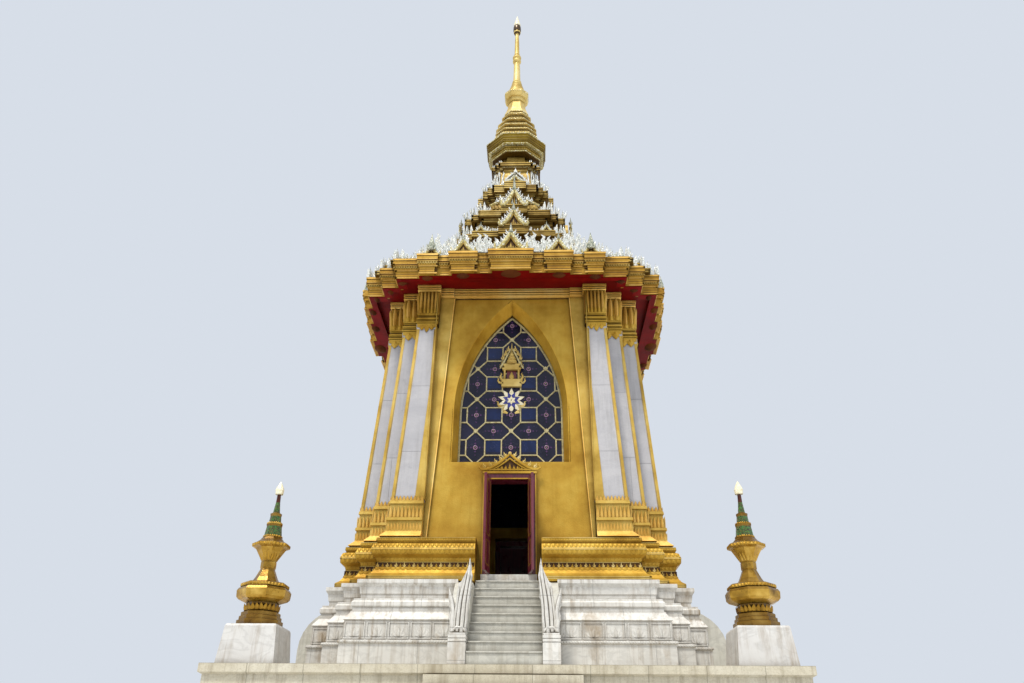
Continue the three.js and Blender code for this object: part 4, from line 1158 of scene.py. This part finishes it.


# Under the eaves: lines along the cornice and the walls, as (bottom, top, how far proud, material)
# Material 3 makes thin dark lines of painted shade; material 4, on the architrave, is painted sunlight.
FASCIA = [(12.072, 12.1, -0.068, 0), (12.112, 12.126, -0.08, 3), (12.2, 12.215, -0.078, 3),
          (12.29, 12.325, -0.055, 0), (12.345, 12.358, -0.036, 3), (12.425, 12.452, -0.012, 0),
          (12.462, 12.478, 0.003, 3), (12.485, 12.5, 0.008, 0), (12.588, 12.6, 0.003, 3),
          (12.606, 12.664, 0.012, 0)]
ARCHITRAVE = [(12.165, 12.198, 0.16, 4), (12.143, 12.162, 0.126, 3), (12.1, 12.14, 0.146, 4),
              (12.07, 12.085, 0.126, 3), (12.035, 12.062, 0.136, 4), (11.985, 12.022, 0.1, 4),
              (11.956, 11.98, 0.112, 4), (11.93, 11.954, 0.01, 3)]
# Red fields between the cornice and the walls, as (x0, x1, outer edge, inner edge)
FIELDS = [(0, 3.14, 4.06, 3.9), (3.1, 3.6, 3.6, 3.4), (3.56, 4.06, 3.14, 2.9), (0, 0.5, 4.42, 4.0),
          (0.5, 1.6, 4.3, 4.0), (1.6, 2.5, 4.2, 4.0)]
FIELD_FOOT, FIELD_THICK = 12.05, 0.01


def boss(shape, m, x, y, size):
    """A lotus boss under the soffit, a little flattened along the edge it stands by."""
    at = m @ move(x, -y) @ Matrix.Diagonal((1, 0.66, 1, 1))
    profile = [(11.98, 0.1), (12.0, 0.4), (12.035, 0.76), (12.068, 0.95)]
    shape.put(turned([(z, size * r) for z, r in profile], 20), at, 1)
    for ring, (count, share) in enumerate([(12, 1.0), (8, 0.6)]):
        petal = leaf(size * 0.46 * share, size * 0.5, 0.04)
        for k in range(count):
            turn = spin(2 * math.pi * (k + 0.5 * ring) / count)
            shape.put(petal, at @ move(0, 0, 12.05 - 0.04 * ring) @ turn @ move(0, -size * 0.5 * share)
                      @ tilted(-QUARTER), 1)


def dress_eaves():
    """Bosses under the red soffit, fine lines along the cornice, and the architrave over each bay."""
    shape = Shape()
    for side in SIDES:
        boss(shape, side, 0, 4.28, 0.31)
        boss(shape, side, 3.4, 3.4, 0.13)
        for z0, z1, proud, look in ARCHITRAVE:
            y = lean(z0) - BAY_FACE - proud
            shape.put(box(-1.63, 1.63, y, y + 0.1, z0, z1), side, look)
    for n, m in enumerate(HALVES):
        for x, y, size in [(1.3, 4.2, 0.2), (2.28, 4.1, 0.17), (3.0, 3.86, 0.14)]:
            boss(shape, m, x, y, size)
        for i, (x0, x1, y, inner) in enumerate(FIELDS):
            foot = FIELD_FOOT + 0.0016 * i + 0.0008 * (n % 2)
            shape.put(box(x0, x1, -y, -inner, foot, foot + FIELD_THICK), m, 2)
        for z0, z1, proud, look in ARCHITRAVE:
            y = lean(z0) - BAY_FACE - proud - 0.04
            shape.put(box(1.62, BAY_SIDE - 0.006, y, y + 0.14, z0 - 0.012, z1 - 0.002), m, look)
        for x0, x1, y in CORNICE_RUNS:
            for z0, z1, out, look in FASCIA:
                shape.put(box(x0, x1 + out, -y - out, -y - out + 0.05, z0, z1), m, look)
    shape.make("eaves_ornament", [LINE_GOLD, BROWN_GOLD, SOFFIT, SHADE_GOLD, SUNLIT], "gold_stucco", smooth=35)


# Base, terrace and stairs
# Petals and beads of the gold base, as (foot, half width, height, width, thickness, tilt, turn)
BASE_PETALS = [(4.34, 3.962, 0.12, 0.12, 0.014, -0.1, HANG), (4.5, 3.935, 0.1, 0.09, 0.014, 0.1, STILL),
               (4.63, 4.045, 0.1, 0.11, 0.016, 0.2, STILL), (4.86, 4.022, 0.1, 0.1, 0.014, -0.35, HANG),
               (4.945, 3.977, 0.055, 0.06, 0.01, 0.0, STILL)]
# Thin pale lines that sharpen each moulding as painted highlights, as (bottom, top, half width)
BASE_LINES = [(4.065, 4.085, 4.115), (4.105, 4.12, 4.118), (4.455, 4.47, 3.936), (4.725, 4.74, 4.068),
              (4.755, 4.77, 4.062), (5.0, 5.02, 3.975)]
SCROLL_HALF, FRIEZE_HALF, FRIEZE_LOW, FRIEZE_HIGH, FRAME = 3.945, 4.42, 2.745, 3.09, 0.02


def dress_gold_base():
    """Petals, fine lines and a band of scrolls between the mouldings of the gold base."""
    gold = Shape()
    for z, a, tall, wide, thick, tilt, turn in BASE_PETALS:
        for m, x0, x1, y in around(a, STEP_D, BESIDE_STAIR):
            row(gold, lambda pitch: leaf(pitch * 0.96, tall, thick), wide, x0, x1, y, z, m, 0,
                tilted(tilt) @ turn)
    for z0, z1, a in BASE_LINES:
        for m, x0, x1, y in around(a, STEP_D, BESIDE_STAIR):
            gold.put(box(x0, x1, y, y + 0.05, z0, z1), m, 1)
    # Carved scrolls over a ground painted dark as shade, in the flat of the gold base
    for m, x0, x1, y in around(SCROLL_HALF, STEP_D, BESIDE_STAIR):
        gold.put(box(x0, x1, y - 0.006, y + 0.05, 4.345, 4.452), m, 2)
        for j, x in enumerate(spaced(x0, x1, 0.1)[1]):
            scroll = flame(0.115 if j % 2 else 0.09, 0.5)
            gold.put(scroll, m @ move(x, y - 0.008, 4.347) @ (MIRROR if j % 3 else STILL), j % 2)
    gold.make("gold_base_relief", [GOLD, GOLD_PALE, SHADE_GOLD], "gold_stucco", smooth=40)


def dress_terrace():
    """Carved panels of the frieze, a scroll and its mirror in a raised frame, and two rows of petals."""
    white, panels = Shape(), Shape()
    low, high, w = FRIEZE_LOW, FRIEZE_HIGH, FRAME
    for m, x0, x1, y in around(FRIEZE_HALF, STEP_D, BESIDE_WALLS):
        pitch, centres = spaced(x0, x1, 0.44)
        half = pitch / 2
        for x in centres:
            for a, b, c, d in [(w - half, half - w, low, low + w), (w - half, half - w, high - w, high),
                               (w - half, 2 * w - half, low + w, high - w),
                               (half - 2 * w, half - w, low + w, high - w)]:
                panels.put(box(x + a, x + b, y - 0.016, y + 0.02, c, d), m)
            for turn in both(m @ move(x, y)):
                white.put(kanok(0.25, 0.3), turn @ move(0.06, 0.0, 2.79))
                white.put(kanok(0.15, 0.3), turn @ move(0.13, 0.0, 2.77))
            white.put(leaf(0.09, 0.2, 0.035), m @ move(x, y, 2.79))
    for z, a, tall, wide in [(3.87, 4.215, 0.06, 0.09), (2.67, 4.51, 0.035, 0.06)]:
        for m, x0, x1, y in around(a, STEP_D, BESIDE_WALLS):
            row(white, leaf(wide, tall, 0.012), wide, x0, x1, y, z, m)
    white.make("marble_relief", [MARBLE], "white_marble", smooth=40)
    panels.make("frieze_panels", [MARBLE], "white_marble")


def dress_stairs():
    """A nosing on every tread."""
    nosings = Shape()
    for k in range(1, TREADS + 1):
        y = -STAIR_TOP_Y - k * TREAD
        z = STAIR_TOP - k * RISER
        for side in SIDES:
            nosings.put(box(-0.738, 0.738, y - 0.022, y + 0.15, z, z + 0.028), side)
    nosings.make("stair_nosings", [WORN], "white_marble")


FLAME_EDGE = [(-1.09, 2.67), (-0.76, 2.67), (-0.74, 2.9), (-0.735, 3.2), (-0.705, 3.45), (-0.69, 3.65),
              (-0.672, 3.82), (-0.693, 3.9), (-0.7, 4.005), (-0.729, 4.167), (-0.756, 4.005), (-0.784, 3.916),
              (-0.826, 3.819), (-0.893, 3.69), (-0.946, 3.651), (-0.963, 3.512), (-0.979, 3.374),
              (-0.996, 3.16), (-1.041, 3.374), (-1.091, 3.477), (-1.134, 3.564), (-1.14, 3.373),
              (-1.122, 3.27), (-1.08, 3.134), (-1.112, 3.033), (-1.096, 2.899)]
# Ridges that cut the plaque into tongues, as (path, radii)
FLAME_RIDGES = [
    ([(-0.86, 2.7), (-0.84, 3.0), (-0.82, 3.3), (-0.78, 3.6), (-0.745, 3.82), (-0.729, 4.14)],
     [0.04, 0.045, 0.04, 0.036, 0.028, 0.006]),
    ([(-0.94, 2.72), (-0.93, 3.0), (-0.91, 3.25), (-0.88, 3.45), (-0.83, 3.66), (-0.79, 3.86)],
     [0.035, 0.04, 0.036, 0.034, 0.026, 0.006]),
    ([(-1.03, 2.72), (-1.05, 2.9), (-1.03, 3.1), (-1.06, 3.26), (-1.1, 3.4), (-1.13, 3.54)],
     [0.04, 0.04, 0.036, 0.036, 0.03, 0.006]),
    ([(-0.79, 2.74), (-0.77, 2.95), (-0.76, 3.2), (-0.735, 3.45), (-0.715, 3.62), (-0.69, 3.8)],
     [0.024, 0.026, 0.026, 0.024, 0.02, 0.005]),
    ([(-1.0, 2.75), (-1.0, 2.95), (-0.97, 3.2), (-0.95, 3.4), (-0.93, 3.6)],
     [0.028, 0.03, 0.028, 0.024, 0.005]),
    ([(-1.06, 2.72), (-0.95, 2.8), (-0.83, 2.78), (-0.78, 2.72)], [0.03, 0.04, 0.04, 0.02])]
# Barbs along the edge, as (tip x, tip z, size, how far the foot lies aside)
FLAME_BARBS = [(-0.70, 3.46, 0.09, -0.12), (-0.69, 3.64, 0.1, -0.12), (-0.95, 3.6, 0.12, 0.12),
               (-1.12, 3.3, 0.1, 0.12), (-1.1, 3.02, 0.1, 0.12), (-0.745, 3.02, 0.08, -0.12),
               (-0.78, 3.86, 0.1, -0.12)]
# The block under it and the steps of its cap, as (growth, bottom, top)
FLAME_BLOCK = [(0.0, 2.1003, 2.5), (-0.012, 2.5, 2.52), (0.0, 2.52, 2.57), (-0.012, 2.57, 2.585),
               (0.0, 2.585, 2.64), (-0.02, 2.64, 2.68)]


def dress_flames():
    """Carved marble flames at the foot of the front stair, with their blocks."""
    for name, m in PAIR:
        shape = Shape()
        for grow, z0, z1 in FLAME_BLOCK:
            shape.put(box(-1.1 - grow, -0.751 + grow, -5.85 - grow, -5.4003 + grow, z0, z1), m)
        shape.put(prism(FLAME_EDGE, -5.57, -5.67), m)
        for path, radii in FLAME_RIDGES:
            for y in (-5.68, -5.56):
                shape.bar(path, radii, m @ move(0, y), 0, 8, 1.1)
        for x, z, size, aside in FLAME_BARBS:
            path = [(x + aside * 0.4, z - size * 1.6), (x + aside * 0.1, z - size * 0.6), (x, z)]
            shape.bar(path, [0.02, 0.026, 0.004], m @ move(0, -5.62), 0, flat=0.9)
        made = shape.make("flame_carved_" + name, [MARBLE], "white_marble", smooth=35)
        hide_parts("flame_front_" + name)


# Doors
LINTEL, TRANSOM, HEAD = 6.59, 6.70, 6.76
BEAD, BEAD_PROUD, FIELD_INSETS = 0.016, 0.0035, (0.04, 0.07)


def panel(shape, at, x0, x1, y, z0, z1, toward=1):
    """A raised field in a gilt bead, standing off a face that looks to -Y, or to +Y."""
    proud, sunk, w = BEAD_PROUD * toward, 0.002 * toward, BEAD
    ys = sorted((y - proud * 1.1, y + sunk))
    for a, b, c, d in [(x0, x1, z0, z0 + w), (x0, x1, z1 - w, z1), (x0, x0 + w, z0, z1),
                       (x1 - w, x1, z0, z1)]:
        shape.put(box(a, b, *ys, c, d), at, 1)
    shape.put(loft([[(x0 + i, v, z0 + i), (x1 - i, v, z0 + i), (x1 - i, v, z1 - i), (x0 + i, v, z1 - i)]
                    for i, v in zip(FIELD_INSETS, (y + sunk, y - proud))]), at, 0)


def dress_doors():
    frames, pediments = Shape(), Shape()
    for k, side in enumerate(SIDES):
        face = DOOR_FACE
        for m in both(side):
            frames.put(box(DOOR_HALF, 0.528, face - 0.014, face + 0.02, DOOR_FOOT, LINTEL), m, 1)
            frames.put(box(0.62, 0.648, face - 0.02, face + 0.02, DOOR_FOOT, TRANSOM), m, 1)
        frames.put(box(-0.528, 0.528, face - 0.014, face + 0.02, 6.562, LINTEL), side, 1)
        frames.put(box(-0.66, 0.66, face - 0.04, face + 0.03, TRANSOM, HEAD), side, 1)
        row(frames, leaf(0.09, 0.16, 0.03), 0.1, -0.64, 0.64, face, HEAD, side, 1)
        gable(pediments, side @ move(0, face + 0.02, 6.78), 0.6, 0.42, 0.0)
        if k:
            for m in both(side):
                for z0, z1 in [(4.4, 4.98), (5.1, 6.44)]:
                    panel(frames, m, 0.07, 0.43, -3.44, z0, z1)
            frames.put(box(-0.012, 0.012, -3.455, -3.43, DOOR_FOOT, 6.55), side, 1)
    frames.make("door_trim", [MAROON, GOLD], "lacquered_wood", smooth=35)
    pediments.make("door_pediments", [GOLD, GOLD_PALE, SHADE_GOLD, GOLD_PALE, GOLD], "gold_stucco", smooth=35)
    for name, mirror in PAIR:
        leaf_trim = Shape()
        at = mirror @ move(-DOOR_HALF, -DOOR_PLANE) @ spin(LEAF_TURN)
        for face, toward in ((0.0, 1), (0.06, -1)):
            for z0, z1 in [(4.42, 4.98), (5.1, 6.42)]:
                panel(leaf_trim, at, 0.08, 0.42, face, z0, z1, toward)
        leaf_trim.make("leaf_panels_" + name, [MAROON, GOLD], "lacquered_wood", "leaf_" + name)


# Lamps
# Petals and beads on the stands, as (foot, radius, width, height, thickness, tilt)
LAMP_ROWS = [(3.175, 0.35, 0.1, 0.14, 0.02, 0.2), (3.652, 0.5, 0.07, 0.056, 0.012, 0.0),
             (4.22, 0.165, 0.07, 0.26, 0.016, 0.45), (4.502, 0.4, 0.07, 0.056, 0.014, 0.0),
             (5.0, 0.165, 0.05, 0.045, 0.01, 0.0), (4.715, 0.205, 0.06, 0.04, 0.01, 0.0)]
# Heights of the green bands, and where the foot with painted shade ends, where the cone with painted dark
# reflection starts and where the red neck starts
GREEN_BANDS = [(4.73, 4.955), (5.035, 5.18), (5.265, 5.5)]
FOOT_END, CONE_START, NECK_START = 3.33, 4.57, 5.5
CHIP_SCALE = 34.0


def dress_lamps():
    trim, bulbs = Shape(), Shape()
    for at in LAMPS:
        for z, radius, wide, tall, thick, tilt in LAMP_ROWS:
            eight_row(trim, leaf(wide, tall, thick), wide, radius, z, 0, tilt, at)
        for turn in EIGHT:
            bulbs.put(leaf(0.075, 0.17, 0.014, -0.02), at @ turn @ move(0, -0.078, 5.685))
    trim.make("lamp_trim", [GOLD_LEAF], "gold_metal", smooth=40)
    bulbs.make("lamp_bulb_petals", [BUD_WHITE], "white_ceramic", smooth=40)


def lamp_paint():
    """Gold leaf with bands of green chips up the tapering cone."""
    k = Look("lamp_gold", 0.42, 0.55)
    z = k.node("SeparateXYZ", k.where)[2]
    gold = k.ramp(k.noise(3.0, 5, 0.6), (0.3, rgb(118, 84, 18)), (0.5, rgb(180, 138, 46)),
                  (0.75, rgb(222, 184, 92)))
    chips = k.split(k.cells(CHIP_SCALE)["Color"])[0]
    green = k.ramp(chips, (0.0, rgb(2, 40, 12)), (0.6, rgb(8, 82, 26)), (1.0, rgb(34, 118, 48)))
    grout = k.ramp(k.cells(CHIP_SCALE, "DISTANCE_TO_EDGE")["Distance"], (0.03, 1.0), (0.1, 0.0))
    green = k.mix(k.times(grout, 0.8), green, rgb(120, 96, 30))
    share = None
    for low, high in GREEN_BANDS:
        band = k.times(k.math("GREATER_THAN", z, low), k.math("LESS_THAN", z, high))
        share = band if share is None else k.math("ADD", share, band)
    # Painted shade and dark reflection: the foot and the cone are darker by height.
    shaded = k.math("ADD", k.math("LESS_THAN", z, FOOT_END), k.math("GREATER_THAN", z, CONE_START))
    gold = k.mix(k.times(shaded, 0.6), gold, rgb(88, 54, 8))
    # Painted dark reflection: faces that look up are darker.
    gold = k.mix(k.ramp(k.facing_up(), (0.2, 0.0), (0.5, 0.62)), gold, rgb(104, 72, 12))
    colour = k.mix(k.math("GREATER_THAN", z, NECK_START), k.mix(share, gold, green), rgb(86, 44, 30))
    # Painted shade in the creases.
    colour = k.shade_creases(colour, 0.14, 0.9, rgb(36, 20, 4))
    k.feed(k.shade.inputs["Metallic"], k.times(k.math("SUBTRACT", 1.0, share), 0.6))
    return k.finish(colour, k.ramp(k.noise(6.0, 4), (0.3, 0.24), (0.7, 0.4)), k.noise(18.0, 5), 0.004)


# Paint of the solids, the floor and the light
def paint_frame():
    lamp = lamp_paint()
    rules = [
        ("lower_terrace", BEIGE), ("ground_stair", BEIGE), ("upper_terrace", MARBLE), ("marble_base", MARBLE),
        ("hall_floor", MARBLE), ("gold_base", GOLD), ("corner_pier", PILASTER), ("bay_", BAY_GOLD),
        ("window_", GLASS),
        ("door_", MAROON), ("soffit", SOFFIT), ("main_cornice", CORNICE), ("roof_tier", ROOF),
        ("relic", ROOF), ("octagonal", CANOPY), ("ring_stack", GOLD_PALE), ("spire", GOLD_PALE),
        ("finial", GOLD),
        ("stair_", WORN), ("flame", WORN), ("pedestal", PLINTH), ("lamp_bulb", BUD_WHITE), ("lamp_", lamp),
    ]
    for name, piece in nodes.items():
        look = next(mat for start, mat in rules if name.startswith(start))
        if not piece.material_slots:
            piece.data.materials.append(look)
        for slot in piece.material_slots:
            slot.material = look


def light_and_floor():
    mesh = bpy.data.meshes.new("floor")
    mesh.from_pydata(flat_ring(-FLOOR_HALF, FLOOR_HALF, -FLOOR_HALF, FLOOR_HALF, FLOOR_Z), [], [(0, 1, 2, 3)])
    floor = bpy.data.objects.new("floor", mesh)
    bpy.context.collection.objects.link(floor)
    k = Look("floor_paint", 0.9)
    k.finish(k.ramp(k.noise(0.2, 3), (0.3, rgb(214, 214, 212)), (0.7, rgb(222, 222, 220))))
    mesh.materials.append(k.mat)
    world = bpy.data.worlds.new("studio")
    bpy.context.scene.world = world
    world.use_nodes = True
    back = world.node_tree.nodes["Background"]
    back.inputs[0].default_value = SKY_TINT
    back.inputs[1].default_value = SKY_STRENGTH
    for name, toward, energy, angle, tint in SUNS:
        data = bpy.data.lights.new(name, "SUN")
        data.energy, data.angle, data.color = energy, math.radians(angle), tint
        sun = bpy.data.objects.new(name, data)
        bpy.context.collection.objects.link(sun)
        sun.rotation_mode = "QUATERNION"
        sun.rotation_quaternion = Vector(toward).to_track_quat("-Z", "Y")
    bpy.context.scene.view_settings.view_transform = "Standard"


paint_frame()
dress_roof()
dress_chamber()
dress_spire()
dress_piers()
dress_windows()
line_arches()
dress_canopy()
dress_eaves()
dress_gold_base()
dress_terrace()
dress_stairs()
dress_flames()
dress_doors()
dress_lamps()
light_and_floor()
